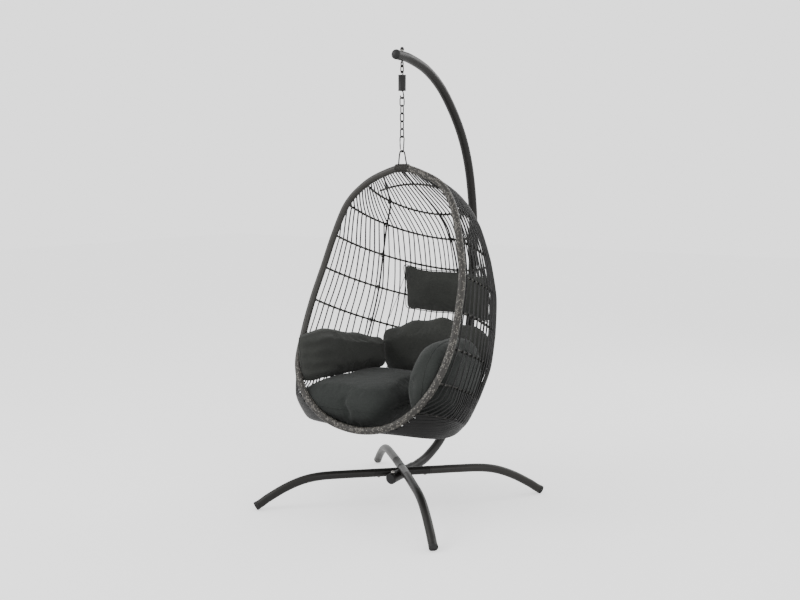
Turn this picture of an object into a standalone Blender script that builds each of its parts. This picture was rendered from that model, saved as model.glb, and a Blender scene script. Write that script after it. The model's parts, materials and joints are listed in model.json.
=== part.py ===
"""Hanging egg chair: a curved steel stand, a spring and chain, and a wicker basket with cushions.

Run with: blender --background --python part.py
Metres, +Z up. The front of the chair faces -Y. The origin is the centre of the whole
object's bounding box at floor level. The basket hangs on a vertical axis at y = HANG_Y.
"""

import math

import bmesh
import bpy
from mathutils import Euler, Matrix, Vector
from mathutils.kdtree import KDTree

# ---------------------------------------------------------------- driving dimensions
GAP = 0.0003                    # clearance kept between touching pieces
HANG_Y = -0.0763                # the vertical hanging axis, behind the front feet

LEG_DIAMETER = 0.036
LEG_REACH = 0.622               # from the hanging axis to where each foot touches the floor
STUB_REACH = 0.122              # from the hanging axis to the seam between stub and leg
STUB_DIAMETER = 0.036
LOW_BAR_HEIGHT = 0.133          # axis of the front-left to rear-right pair at the seam
HIGH_BAR_HEIGHT = 0.148         # axis of the front-right to rear-left pair, which crosses above
LEG_BOLT_RADIUS = 0.0060
LEG_BOLT_INSET = 0.020          # from the seam back to the bolt under the stub
FOOT_CAP_LENGTH = 0.014
FOOT_CAP_RADIUS = 0.0188
FOOT_FLAT = 0.0025              # how much of each cap's lower edge is cut off level
FOOT_SLOPE = math.radians(31)   # the last stretch of each leg below the horizontal

POST_DIAMETER = 0.040
HUB_DIAMETER = 0.047
HUB_BORE_CLEARANCE = 0.0004
HUB_FRONT = -0.082              # measured from the hanging axis, like every y below
HUB_REAR = 0.085
HUB_HEIGHT = 0.126
HUB_TILT = math.radians(4)
BORE_END = 0.006                # thickness of the hub's closed front end
POST_END_ROOM = 0.006           # between the post's lower end and the bottom of the hub's bore
LOCK_BOLT_INSET = 0.014         # from the hub's front end back to the lock bolt
# turned profiles: radius, height above the face they sit on
POST_TOP_CAP = ((0, 0.018), (0.0100, 0.0165), (0.0170, 0.0125), (0.0204, 0.006), (0.0204, 0), (0, 0))
POST_BOTTOM_CAP = ((0, 0.010), (0.0188, 0.0095), (0.0239, 0.006), (0.0239, 0), (0, 0))
LOCK_BOLT = ((0, 0.006), (0.005, 0.0055), (0.0075, 0.003), (0.0075, 0), (0, 0))
LEG_BOLT_HEAD = 0.0035

SHANK_RADIUS = 0.0038           # the eye bolt's shank, its hole in the post, washer and nut
SHANK_HOLE_RADIUS = 0.0045
NUT_HOLE_RADIUS = 0.0042
WASHER_RADIUS = 0.0095
WASHER_THICKNESS = 0.0018
SHANK_ABOVE_POST = 0.006
CAP_NUT = ((0, 0.013), (0.0040, 0.0122), (0.0068, 0.009), (0.0072, 0.0062), (0.0088, 0.006),
           (0.0088, 0), (0, 0))
EYE_WIRE = 0.0030               # radii of the hanging hardware
LINK_WIRE = 0.0025
CARABINER_WIRE = 0.0026
LOOP_WIRE = 0.0030
SPRING_WIRE = 0.0026
SLEEVE_RADIUS = 0.0165
SLEEVE_TOP = 1.819
SLEEVE_BOTTOM = 1.754
SLEEVE_WALL = 0.0015
LINK_BEND_STEPS = 6
LINK_HALF_WIDTH = 0.0092        # centre lines of the chain links
LINK_HALF_HEIGHT = 0.0186
LINK_TURNS = (10, 90, -8, 88, -12)     # each link's turn about the vertical, in degrees
EYE_TURN = 90
UPPER_LINK_TURN = 0
TOP_HOOK_TURN = 90
LOWER_HOOK_TURN = 84
CARABINER_TURN = 68
POST_CREST = 1.9175             # top of the post tube where the eye bolt goes through
EYE_TOP = 1.8725                # centre lines of the eye's wire
EYE_BOTTOM = 1.8515
EYE_HALF_WIDTH = 0.0070
UPPER_LINK_HALF_WIDTH = 0.0062
UPPER_LINK_HALF_HEIGHT = 0.0142
TOP_HOOK_RADIUS = 0.0066
TOP_HOOK_NECK = ((0.0045, -0.0085), (0, -0.0130))   # across and up from the hook's centre
HOOK_STEPS = 8
COIL_END_ROOM = 0.0025          # between the coil and the hooks' inner ends
LOWER_HOOK_NECK = (0.0065, 0.0055)      # across, and below the sleeve
SPRING_PIVOT = EYE_BOTTOM + EYE_WIRE + LINK_WIRE + GAP - 2 * UPPER_LINK_HALF_HEIGHT
COIL_TURNS = 6
COIL_STEPS = 7
COIL_RADIUS = 0.0105
COIL_WIRE = 0.0019
COIL_TOP = 1.8060
COIL_BOTTOM = 1.7670
LOWER_HOOK_RADIUS = 0.0105
LOWER_HOOK_BOTTOM = 1.7223
CARABINER_BOTTOM = 1.5026
CARABINER_WIDE = 0.0100         # half widths of its upper and lower bows
CARABINER_NARROW = 0.0070
GATE_PIVOT_ACROSS = 0.0014      # how far outside the lower bow the gate's pivot is
GATE_PIVOT_RISE = 0.0080        # from the carabiner's lowest centre line to the gate's pivot
LOOP_APEX = CARABINER_BOTTOM + CARABINER_WIRE + LOOP_WIRE + GAP
GATE_TOP_DROP = 0.0240          # from the carabiner's highest centre line to the gate's upper end
GATE_CLEARANCE = 0.0002
GATE_END_ROOM = 0.0009          # keeps the gate's lower end off the body as it opens
GATE_WIRE = 0.0022
LOOP_FOOT_HEIGHT = 0.0153       # above the rim's centre line
# left half of the loop's wire: x, y from the hanging axis, rise above its feet or from its apex
LOOP_FOOT = (-0.0200, 0.004, 0.0)
LOOP_SIDE = (-0.0165, 0.002, 0.022)
LOOP_SHOULDERS = ((-0.0125, 0.001, -0.0120), (-0.0075, 0.0, -0.0028), (0.0, 0.0, 0.0))

RIM_RADIUS = 0.0145
HOOP_STEPS = 18
RIB_STEPS = 20
RIB_TOP_STEPS = 3
CROSSBAR_STEPS = 10
HOOP_RADIUS = 0.0048
RIB_RADIUS = 0.0040
NET_THICKNESS = 0.0040
HOOP_END_GAP = 0.0018
WIDEST_BEHIND_RIM = 0.10        # how far behind the rim each hoop is widest

# right half of the front rim, top to bottom: x, y from the hanging axis, z
RIM_OUTLINE = (
    (0.000, 0.005, 1.4365),
    (0.100, 0.005, 1.4120),
    (0.195, 0.002, 1.3650),
    (0.268, -0.027, 1.2820),
    (0.316, -0.057, 1.1500),
    (0.350, -0.090, 1.0120),
    (0.367, -0.145, 0.8770),
    (0.371, -0.204, 0.7380),
    (0.347, -0.274, 0.6070),
    (0.275, -0.316, 0.4950),
    (0.155, -0.333, 0.4130),
    (0.000, -0.336, 0.3840),
)

# hoops from the top down: height of their ends on the rim, widest half width, depth
# behind the rim, and slope down towards the back in degrees
HOOPS = (
    (1.370, 0.202, 0.340, 24),
    (1.282, 0.270, 0.465, 21),
    (1.150, 0.318, 0.550, 19),
    (1.012, 0.352, 0.615, 19),
    (0.877, 0.372, 0.655, 20),
    (0.738, 0.386, 0.655, 20),
    (0.607, 0.389, 0.600, 20),
    (0.490, 0.375, 0.500, 19),
    (0.412, 0.310, 0.330, 16),
)

# across runs from -1 at a hoop's left end to +1 at its right end; level 0 is the rim's top
# arc, 1 to 9 are the hoops and 10 is the rim's bottom arc
LAST_LEVEL = len(HOOPS) + 1
TOP_ARC = 0.165                 # half width of the rim's arc that the first strands start from
BOTTOM_ARC = 0.135
INSIDE_POINT = Vector((0, 0.10, 0.85))  # a point well inside the basket
# each rib's place across, then the levels of its short upper part and of its long part,
# which meet the crossbar from both sides
RIBS = {
    "left": (-0.59, (0.11, 0.43), (0.56, 9.72)),
    "centre": (0.0, (0.07, 0.23), (0.33, 9.72)),
    "right": (0.59, (0.11, 0.43), (0.56, 9.72)),
}
RIB_DEPTH = HOOP_RADIUS + RIB_RADIUS + 0.0028   # how far inside the hoops the ribs run
CROSSBAR_HALF = 0.180
CROSSBAR_BACK = 0.095
CROSSBAR_HEIGHT = 1.338
CROSSBAR_RISE = 0.030

NET_PANELS = ("left", "back_left", "back_right", "right")
STRANDS_PER_PANEL = 5
NET_STRANDS = STRANDS_PER_PANEL * len(NET_PANELS)
NET_REACH = 0.93                # the outermost strands' place along each hoop
NET_STRAND_HALF = 0.0040
NET_TOP_CENTRE = 0.08           # levels of the net's top edge
NET_TOP_SIDE = 0.36
NET_TIED_LEVELS = (0.035, 3, 6, 9.66)   # levels where a band ties all the strands together
NET_OTHER_LEVELS = (1, 2, 4, 5, 6.5, 7, 7.5, 8, 8.5, 9)
NET_BAND_HALF = 0.030
NET_OUTWARD = HOOP_RADIUS + NET_THICKNESS / 2 + 0.0032

# cushions: centre from the hanging axis, size, turns about X, Y and Z in degrees, how much
# narrower the lower and the rear faces are across, the thickness axis, then how square the
# outline and the section are (2 is an oval)
CUSHIONS = {
    "seat_cushion": ((-0.105, -0.048, 0.460), (0.480, 0.526, 0.191), (0, 0, 0), 0.72, 0.80, 2, 4.5, 2.8),
    "back_cushion": ((0, 0.287, 0.635), (0.590, 0.115, 0.270), (3, 0, 0), 0.86, 0.80, 1, 7.0, 2.6),
    "left_wing_cushion": ((-0.292, -0.040, 0.647), (0.125, 0.470, 0.195), (0, -8, -8), 1, 1, 0, 6.0, 2.6),
    "right_wing_cushion": ((0.260, -0.065, 0.580), (0.180, 0.420, 0.330), (0, 8, 6), 1, 1, 0, 2.7, 2.6),
    "head_pillow": ((0.008, 0.345, 0.880), (0.460, 0.055, 0.212), (11, 3.5, 0), 1, 1, 1, 10.0, 2.2),
}
CUSHION_STEP = 0.024            # spacing of the points on a cushion
CUSHION_CLEARANCE = 0.0195      # from the egg surface to a cushion pressed against it
CUSHION_RIM_CLEARANCE = 0.0065
FITTING_PASSES = 4
RIM_REACH = 0.060               # points this near the rim are kept on its inner side
SURFACE_LEVELS = 64             # samples of the egg surface that the cushions are fitted to
SURFACE_STEPS = 72

# centre line of the curved post from its front top end to its joint, then to the hub
POST_UPPER = (
    (-0.040, 1.8985),
    (0.060, 1.889),
    (0.200, 1.847),
    (0.332, 1.761),
    (0.464, 1.611),
    (0.544, 1.450),
    (0.586, 1.255),
    (0.594, 1.100),
    (0.588, 0.950),
)
POST_JOINT = (0.574, 0.740)
JOINT_LEAN = math.radians(7)
JOINT_STRAIGHT = 0.020
POST_LOWER = (
    (0.540, 0.560),
    (0.461, 0.375),
    (0.334, 0.226),
    (0.209, 0.157),
    (0.100, 0.133),
)

# centre line of a leg: distance from the hanging axis, drop below the stub's height
LEG_PROFILE = (
    (0.140, 0.000),
    (0.250, 0.000),
    (0.350, 0.002),
    (0.425, 0.014),
    (0.500, 0.042),
    (0.575, 0.083),
)

# ---------------------------------------------------------------- colours
STEEL_COLOUR = (0.048, 0.048, 0.041, 1.0)
HARDWARE_COLOUR = (0.035, 0.035, 0.030, 1.0)
PLASTIC_COLOUR = (0.012, 0.012, 0.012, 1.0)
WICKER_COLOUR = (0.035, 0.032, 0.025, 1.0)
FABRIC_COLOUR = (0.040, 0.042, 0.040, 1.0)


def clear_scene():
    for thing in list(bpy.data.objects):
        bpy.data.objects.remove(thing, do_unlink=True)


def new_collection(name):
    collection = bpy.data.collections.new(name)
    bpy.context.scene.collection.children.link(collection)
    return collection


def set_material(thing, colour, roughness, metallic):
    material = bpy.data.materials.new(thing.name)
    material.use_nodes = True
    shader = material.node_tree.nodes["Principled BSDF"]
    shader.inputs["Base Color"].default_value = colour
    shader.inputs["Roughness"].default_value = roughness
    shader.inputs["Metallic"].default_value = metallic
    thing.data.materials.clear()
    thing.data.materials.append(material)


def finish(thing, look, collection):
    for owner in list(thing.users_collection):
        owner.objects.unlink(thing)
    collection.objects.link(thing)
    set_material(thing, *look)
    return thing


STEEL = (STEEL_COLOUR, 0.45, 0.6)
HARDWARE = (HARDWARE_COLOUR, 0.35, 0.8)
PLASTIC = (PLASTIC_COLOUR, 0.6, 0.0)
WICKER = (WICKER_COLOUR, 0.6, 0.0)
FABRIC = (FABRIC_COLOUR, 0.95, 0.0)


# ---------------------------------------------------------------- curves through points
def on_axis(x, y, z):
    """A point given from the hanging axis, in world coordinates."""
    return Vector((x, y + HANG_Y, z))


def spline_point(before, start, end, after, part):
    """Catmull-Rom interpolation between start and end."""
    return 0.5 * (
        2.0 * start
        + (end - before) * part
        + (2.0 * before - 5.0 * start + 4.0 * end - after) * part ** 2
        + (3.0 * start - before - 3.0 * end + after) * part ** 3
    )


def smooth(points, steps, closed=False):
    """Points along a smooth curve through the given ones, with steps per stretch."""
    count = len(points)
    stretches = count if closed else count - 1
    result = []
    for index in range(stretches):
        if closed:
            quad = [points[(index + shift) % count] for shift in (-1, 0, 1, 2)]
        else:
            start, end = points[index], points[index + 1]
            before = points[index - 1] if index > 0 else 2.0 * start - end
            after = points[index + 2] if index + 2 < count else 2.0 * end - start
            quad = [before, start, end, after]
        result += [spline_point(*quad, step / steps) for step in range(steps)]
    if not closed:
        result.append(points[-1].copy())
    return result


def tube(name, points, radius, sides_level, look, collection, closed=False):
    """A round rod of the given radius along the points."""
    curve = bpy.data.curves.new(name, "CURVE")
    curve.dimensions = "3D"
    curve.bevel_depth = radius
    curve.bevel_resolution = sides_level
    curve.use_fill_caps = not closed
    spline = curve.splines.new("POLY")
    spline.points.add(len(points) - 1)
    for slot, point in zip(spline.points, points):
        slot.co = (*point, 1.0)
    spline.use_cyclic_u = closed
    thing = bpy.data.objects.new(name, curve)
    return finish(thing, look, collection)


def to_mesh(thing):
    """Turn a curve object into a closed mesh object, for cutting and joining."""
    evaluated = thing.evaluated_get(bpy.context.evaluated_depsgraph_get())
    mesh = bpy.data.meshes.new_from_object(evaluated)
    work = bmesh.new()
    work.from_mesh(mesh)
    bmesh.ops.remove_doubles(work, verts=work.verts, dist=0.00005)
    bmesh.ops.recalc_face_normals(work, faces=work.faces)
    work.to_mesh(mesh)
    work.free()
    solid = bpy.data.objects.new(thing.name + ".mesh", mesh)
    solid.matrix_world = thing.matrix_world.copy()
    for owner in thing.users_collection:
        owner.objects.link(solid)
    name = thing.name
    bpy.data.objects.remove(thing, do_unlink=True)
    solid.name = name
    return solid


def rod(name, start, end, radius, sides, look, collection):
    """A cylinder from start to end."""
    span = end - start
    work = bmesh.new()
    bmesh.ops.create_cone(work, cap_ends=True, segments=sides, radius1=radius,
                          radius2=radius, depth=span.length)
    mesh = bpy.data.meshes.new(name)
    work.to_mesh(mesh)
    work.free()
    thing = bpy.data.objects.new(name, mesh)
    thing.matrix_world = (Matrix.Translation((start + end) / 2)
                          @ span.to_track_quat("Z", "Y").to_matrix().to_4x4())
    finish(thing, look, collection)
    thing.data.shade_smooth()
    thing.data.set_sharp_from_angle(angle=math.radians(40))
    return thing


def turned(name, profile, place, direction, sides, look, collection):
    """A solid turned from (radius, height) points; the profile starts and ends on the axis."""
    mesh = bpy.data.meshes.new(name)
    points = [(radius, 0.0, height) for radius, height in profile]
    edges = [(index, index + 1) for index in range(len(points) - 1)]
    mesh.from_pydata(points, edges, [])
    thing = bpy.data.objects.new(name, mesh)
    thing.matrix_world = (Matrix.Translation(place)
                          @ direction.to_track_quat("Z", "Y").to_matrix().to_4x4())
    finish(thing, look, collection)
    screw = thing.modifiers.new("turn", "SCREW")
    screw.steps = sides
    screw.render_steps = sides
    screw.use_merge_vertices = True
    screw.merge_threshold = 0.00001
    return thing


def boolean(target, other, operation):
    modifier = target.modifiers.new(operation.lower(), "BOOLEAN")
    modifier.operation = operation
    modifier.object = other
    modifier.solver = "EXACT"
    other.hide_render = True
    other.display_type = "WIRE"


def apply_modifiers(thing):
    """Bake the modifiers into the mesh, keeping the name and place."""
    bpy.context.view_layer.update()
    evaluated = thing.evaluated_get(bpy.context.evaluated_depsgraph_get())
    mesh = bpy.data.meshes.new_from_object(evaluated)
    thing.modifiers.clear()
    thing.data = mesh


# ---------------------------------------------------------------- stand
def leg_direction(turn):
    angle = math.radians(turn)
    return Vector((math.cos(angle), math.sin(angle), 0.0))


LEGS = {
    "front_left": (-135, LOW_BAR_HEIGHT),
    "front_right": (-45, HIGH_BAR_HEIGHT),
    "rear_right": (45, LOW_BAR_HEIGHT),
    "rear_left": (135, HIGH_BAR_HEIGHT),
}


def leg_end(outward):
    """Centre of a foot cap's end face, whose lower edge touches the floor."""
    height = FOOT_CAP_RADIUS * math.cos(FOOT_SLOPE) - FOOT_FLAT
    reach = LEG_REACH + FOOT_CAP_RADIUS * math.sin(FOOT_SLOPE)
    return on_axis(0, 0, height) + outward * reach


def build_leg(name, turn, bar_height, floor, collection):
    outward = leg_direction(turn)
    slope = (outward * math.cos(FOOT_SLOPE) - Vector((0, 0, math.sin(FOOT_SLOPE)))).normalized()
    end = leg_end(outward)
    tube_end = end - slope * (FOOT_CAP_LENGTH + GAP)
    first_reach = LEG_PROFILE[0][0]
    points = []
    for reach, drop in LEG_PROFILE:
        settle = (reach - first_reach) / (LEG_REACH - first_reach)
        height = bar_height + (LOW_BAR_HEIGHT - bar_height) * settle - drop
        points.append(on_axis(0, 0, height) + outward * reach)
    seam_end = points[0] - outward * (first_reach - STUB_REACH - GAP)
    points.append(tube_end - slope * LEG_DIAMETER / 2)
    tube("leg_" + name, [seam_end] + smooth(points, 2) + [tube_end], LEG_DIAMETER / 2, 3,
         STEEL, collection)
    cap = rod("foot_cap_" + name, end - slope * FOOT_CAP_LENGTH, end, FOOT_CAP_RADIUS, 20,
              PLASTIC, collection)
    boolean(cap, floor, "DIFFERENCE")
    apply_modifiers(cap)
    under = bar_height - LEG_DIAMETER / 2 - GAP
    seam = on_axis(0, 0, under) + outward * (STUB_REACH - LEG_BOLT_INSET)
    turned("leg_bolt_" + name,
           ((0, 0), (LEG_BOLT_RADIUS, 0), (LEG_BOLT_RADIUS, -LEG_BOLT_HEAD), (0, -LEG_BOLT_HEAD)),
           seam, Vector((0, 0, 1)), 12, HARDWARE, collection)


def build_hub(collection, cutters):
    along = Vector((0, math.cos(HUB_TILT), math.sin(HUB_TILT)))
    centre = on_axis(0, 0, HUB_HEIGHT)
    hub = rod("hub_weldment", centre + along * HUB_FRONT, centre + along * HUB_REAR,
              HUB_DIAMETER / 2, 24, STEEL, collection)
    for name, (turn, bar_height) in LEGS.items():
        outward = leg_direction(turn)
        start = on_axis(0, 0, bar_height)
        stub = rod("stub_" + name, start, start + outward * STUB_REACH,
                   STUB_DIAMETER / 2, 16, STEEL, cutters)
        boolean(hub, stub, "UNION")
    bore = rod("hub_bore", centre + along * (HUB_FRONT + BORE_END), centre + along * (HUB_REAR + 0.02),
               POST_DIAMETER / 2 + HUB_BORE_CLEARANCE, 24, STEEL, cutters)
    boolean(hub, bore, "DIFFERENCE")
    apply_modifiers(hub)
    return centre, along


def build_stand(collection, cutters):
    centre, along = build_hub(collection, cutters)
    bpy.ops.mesh.primitive_cube_add(size=2.0, location=(0, 0, -1.0))
    floor = finish(bpy.context.object, STEEL, cutters)
    for name, (turn, bar_height) in LEGS.items():
        build_leg(name, turn, bar_height, floor, collection)

    # both halves end square to the joint, and the lower one runs straight inside the hub
    joint = on_axis(0, *POST_JOINT)
    joint_direction = Vector((0, -math.sin(JOINT_LEAN), -math.cos(JOINT_LEAN)))
    lower_points = [joint + joint_direction * JOINT_STRAIGHT]
    lower_points += [on_axis(0, y, z) for y, z in POST_LOWER]
    lower = [joint + joint_direction * GAP] + smooth(lower_points, 2)
    lower.append(centre + along * (HUB_FRONT + BORE_END + POST_END_ROOM))
    tube("post_lower", lower, POST_DIAMETER / 2, 4, STEEL, collection)

    upper_points = [on_axis(0, y, z) for y, z in POST_UPPER]
    upper_points.append(joint - joint_direction * JOINT_STRAIGHT)
    upper_points = smooth(upper_points, 2) + [joint - joint_direction * GAP]
    upper = to_mesh(tube("post_upper", upper_points, POST_DIAMETER / 2, 4, STEEL, collection))
    set_material(upper, *STEEL)
    shank_hole = rod("shank_hole", on_axis(0, 0, 1.80), on_axis(0, 0, 2.0),
                     SHANK_HOLE_RADIUS, 12, STEEL, cutters)
    boolean(upper, shank_hole, "DIFFERENCE")
    apply_modifiers(upper)

    cap_direction = (upper_points[0] - upper_points[1]).normalized()
    turned("post_top_cap", POST_TOP_CAP, upper_points[0] + cap_direction * GAP, cap_direction, 20,
           PLASTIC, collection)
    turned("post_bottom_cap", POST_BOTTOM_CAP, centre + along * (HUB_FRONT - GAP), -along, 20,
           PLASTIC, collection)
    lift = Vector((0, -along.z, along.y))
    seat = centre + along * (HUB_FRONT + LOCK_BOLT_INSET) + lift * (HUB_DIAMETER / 2 + GAP)
    turned("post_lock_bolt", LOCK_BOLT, seat, lift, 12, HARDWARE, collection)


def build_eye_bolt(collection):
    """Shank through the post, a washer and cap nut on top, a closed eye below."""
    middle = (EYE_TOP + EYE_BOTTOM) / 2
    ring = ring_points(middle, EYE_HALF_WIDTH, (EYE_TOP - EYE_BOTTOM) / 2, EYE_TURN)
    eye = to_mesh(tube("eye_bolt", ring, EYE_WIRE, 2, HARDWARE, collection, closed=True))
    set_material(eye, *HARDWARE)
    shank = rod("eye_shank", on_axis(0, 0, EYE_TOP - EYE_WIRE / 3),
                on_axis(0, 0, POST_CREST + SHANK_ABOVE_POST), SHANK_RADIUS, 12, HARDWARE, collection)
    boolean(eye, shank, "UNION")
    apply_modifiers(eye)
    bpy.data.objects.remove(shank, do_unlink=True)

    nut_bottom = POST_CREST + WASHER_THICKNESS + GAP
    hole = rod("nut_hole", on_axis(0, 0, EYE_TOP), on_axis(0, 0, POST_CREST + SHANK_ABOVE_POST + 0.004),
               NUT_HOLE_RADIUS, 12, HARDWARE, collection)
    washer = rod("eye_bolt_washer", on_axis(0, 0, POST_CREST),
                 on_axis(0, 0, POST_CREST + WASHER_THICKNESS), WASHER_RADIUS, 20, HARDWARE, collection)
    nut = turned("eye_bolt_cap_nut", CAP_NUT, on_axis(0, 0, nut_bottom), Vector((0, 0, 1)), 12,
                 PLASTIC, collection)
    apply_modifiers(nut)
    for piece in (washer, nut):
        boolean(piece, hole, "DIFFERENCE")
        apply_modifiers(piece)
    bpy.data.objects.remove(hole, do_unlink=True)


# ---------------------------------------------------------------- spring and chain
def turned_point(turn, across, height):
    """A point in the upright plane through the hanging axis turned by turn degrees."""
    angle = math.radians(turn)
    return on_axis(across * math.cos(angle), across * math.sin(angle), height)


def ring_points(centre_height, half_width, half_height, turn):
    """An upright oval with straight sides and round ends, turned about the vertical."""
    straight = half_height - half_width
    points = []
    for end in (1, -1):
        for step in range(LINK_BEND_STEPS + 1):
            angle = math.pi * step / LINK_BEND_STEPS
            across = half_width * math.cos(angle) * end
            along = (half_width * math.sin(angle) + straight) * end
            points.append(turned_point(turn, across, centre_height + along))
    return points


def build_spring(upper_link_bottom, collection):
    """The spring's top hook, its coil in a sleeve, and its open bottom hook."""
    hook_centre = upper_link_bottom + LINK_WIRE + SPRING_WIRE + GAP - TOP_HOOK_RADIUS
    hook = []
    for step in range(HOOK_STEPS + 1):
        angle = math.radians(-30 + 240 * step / HOOK_STEPS)
        hook.append(turned_point(TOP_HOOK_TURN, -TOP_HOOK_RADIUS * math.cos(angle),
                                 hook_centre + TOP_HOOK_RADIUS * math.sin(angle)))
    hook += [turned_point(TOP_HOOK_TURN, across, hook_centre + rise) for across, rise in TOP_HOOK_NECK]
    hook.append(turned_point(TOP_HOOK_TURN, 0, COIL_TOP + COIL_END_ROOM))
    tube("spring_top_hook", hook, SPRING_WIRE, 2, HARDWARE, collection)

    coil = []
    for step in range(COIL_TURNS * COIL_STEPS + 1):
        angle = 2 * math.pi * step / COIL_STEPS
        height = COIL_TOP + (COIL_BOTTOM - COIL_TOP) * step / (COIL_TURNS * COIL_STEPS)
        coil.append(on_axis(COIL_RADIUS * math.cos(angle), COIL_RADIUS * math.sin(angle), height))
    tube("spring_coil", coil, COIL_WIRE, 0, HARDWARE, collection)

    sleeve = rod("spring_sleeve", on_axis(0, 0, SLEEVE_BOTTOM), on_axis(0, 0, SLEEVE_TOP),
                 SLEEVE_RADIUS, 24, PLASTIC, collection)
    bore = rod("sleeve_bore", on_axis(0, 0, SLEEVE_BOTTOM - 0.01), on_axis(0, 0, SLEEVE_TOP + 0.01),
               SLEEVE_RADIUS - SLEEVE_WALL, 24, PLASTIC, collection)
    boolean(sleeve, bore, "DIFFERENCE")
    apply_modifiers(sleeve)
    bpy.data.objects.remove(bore, do_unlink=True)

    lower_centre = LOWER_HOOK_BOTTOM + LOWER_HOOK_RADIUS
    neck_across, neck_drop = LOWER_HOOK_NECK
    lower = [turned_point(LOWER_HOOK_TURN, 0, COIL_BOTTOM - COIL_END_ROOM),
             turned_point(LOWER_HOOK_TURN, 0, SLEEVE_BOTTOM + COIL_END_ROOM),
             turned_point(LOWER_HOOK_TURN, neck_across, SLEEVE_BOTTOM - neck_drop)]
    for step in range(HOOK_STEPS + 1):
        angle = math.radians(30 - 220 * step / HOOK_STEPS)
        lower.append(turned_point(LOWER_HOOK_TURN, LOWER_HOOK_RADIUS * math.cos(angle),
                                  lower_centre + LOWER_HOOK_RADIUS * math.sin(angle)))
    tube("spring_lower_hook", lower, SPRING_WIRE, 2, HARDWARE, collection)


def build_hardware(collection):
    upper_link_centre = EYE_BOTTOM + EYE_WIRE + LINK_WIRE + GAP - UPPER_LINK_HALF_HEIGHT
    tube("upper_link", ring_points(upper_link_centre, UPPER_LINK_HALF_WIDTH,
                                   UPPER_LINK_HALF_HEIGHT, UPPER_LINK_TURN),
         LINK_WIRE, 1, HARDWARE, collection, closed=True)
    build_spring(upper_link_centre - UPPER_LINK_HALF_HEIGHT, collection)

    carrier = LOWER_HOOK_BOTTOM + SPRING_WIRE
    for number, turn in enumerate(LINK_TURNS, 1):
        centre = carrier + GAP + LINK_WIRE - LINK_HALF_HEIGHT
        tube("chain_link_%d" % number,
             ring_points(centre, LINK_HALF_WIDTH, LINK_HALF_HEIGHT, turn),
             LINK_WIRE, 1, HARDWARE, collection, closed=True)
        carrier = centre - LINK_HALF_HEIGHT + LINK_WIRE
    build_carabiner(carrier + GAP + CARABINER_WIRE, collection)


def build_carabiner(top, collection):
    """A pear-shaped snap link with its gate on the left."""
    wide = CARABINER_WIDE
    narrow = CARABINER_NARROW
    bottom = CARABINER_BOTTOM
    gate_top = (-wide - GATE_CLEARANCE, top - GATE_TOP_DROP)
    gate_bottom = (-narrow - GATE_PIVOT_ACROSS, bottom + GATE_PIVOT_RISE + GATE_END_ROOM)
    outline = [(gate_top[0], gate_top[1] + 4 * GATE_CLEARANCE)]
    for step in range(HOOK_STEPS + 1):
        angle = math.radians(185 - 185 * step / HOOK_STEPS)
        outline.append((wide * math.cos(angle), top - wide + wide * math.sin(angle)))
    for step in range(HOOK_STEPS + 1):
        angle = math.radians(-10 - 175 * step / HOOK_STEPS)
        outline.append((narrow * math.cos(angle), bottom + narrow + narrow * math.sin(angle)))
    tube("carabiner_body", [turned_point(CARABINER_TURN, *point) for point in outline],
         CARABINER_WIRE, 2, HARDWARE, collection)
    tube("carabiner_gate", [turned_point(CARABINER_TURN, *gate_top),
                            turned_point(CARABINER_TURN, *gate_bottom)],
         GATE_WIRE, 2, HARDWARE, collection)


# ---------------------------------------------------------------- basket surface
def rim_half():
    return smooth([Vector(point) for point in RIM_OUTLINE], 6)


def rim_at_height(height):
    """The right half of the rim at a height: x and y from the hanging axis."""
    line = rim_half()
    for first, second in zip(line, line[1:]):
        if second.z <= height <= first.z:
            part = (first.z - height) / max(first.z - second.z, 1e-9)
            return first.lerp(second, part)
    return line[-1]


def rim_at_width(width, top):
    """The rim point nearest the top or bottom with this x."""
    line = rim_half()
    line = line if top else line[::-1]
    for first, second in zip(line, line[1:]):
        if first.x <= abs(width) <= second.x:
            part = (abs(width) - first.x) / max(second.x - first.x, 1e-9)
            point = first.lerp(second, part)
            return Vector((math.copysign(point.x, width), point.y, point.z))
    return line[0]


def hoop_point(number, across):
    """Point on hoop 1..9; across runs from -1 at the left end to +1 at the right end."""
    height, widest, depth, slope = HOOPS[number - 1]
    end = rim_at_height(height)
    widest = max(widest, end.x + 0.002)
    lead = WIDEST_BEHIND_RIM / (depth - WIDEST_BEHIND_RIM)
    turn = -lead + (1 - abs(across)) * (math.pi / 2 + lead)
    if turn >= 0:
        side = widest * math.cos(turn)
        back = WIDEST_BEHIND_RIM + (depth - WIDEST_BEHIND_RIM) * math.sin(turn)
    else:
        side = widest - (widest - end.x) * (turn / lead) ** 2
        back = WIDEST_BEHIND_RIM * (1 + turn / lead)
    angle = math.radians(slope)
    return Vector((math.copysign(side, across), end.y + back * math.cos(angle),
                   height - back * math.sin(angle)))


def level_point(number, across):
    """Point on level 0 (rim top), 1..9 (hoops) or 10 (rim bottom)."""
    if number <= 0:
        return rim_at_width(TOP_ARC * across, True)
    if number >= LAST_LEVEL:
        return rim_at_width(BOTTOM_ARC * across, False)
    return hoop_point(number, across)


def basket_point(level, across):
    """Point on the egg surface between any two levels."""
    index = min(int(math.floor(level)), LAST_LEVEL - 1)
    start = level_point(index, across)
    end = level_point(index + 1, across)
    before = level_point(index - 1, across) if index > 0 else 2 * start - end
    after = level_point(index + 2, across) if index + 2 <= LAST_LEVEL else 2 * end - start
    return spline_point(before, start, end, after, level - index)


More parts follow.
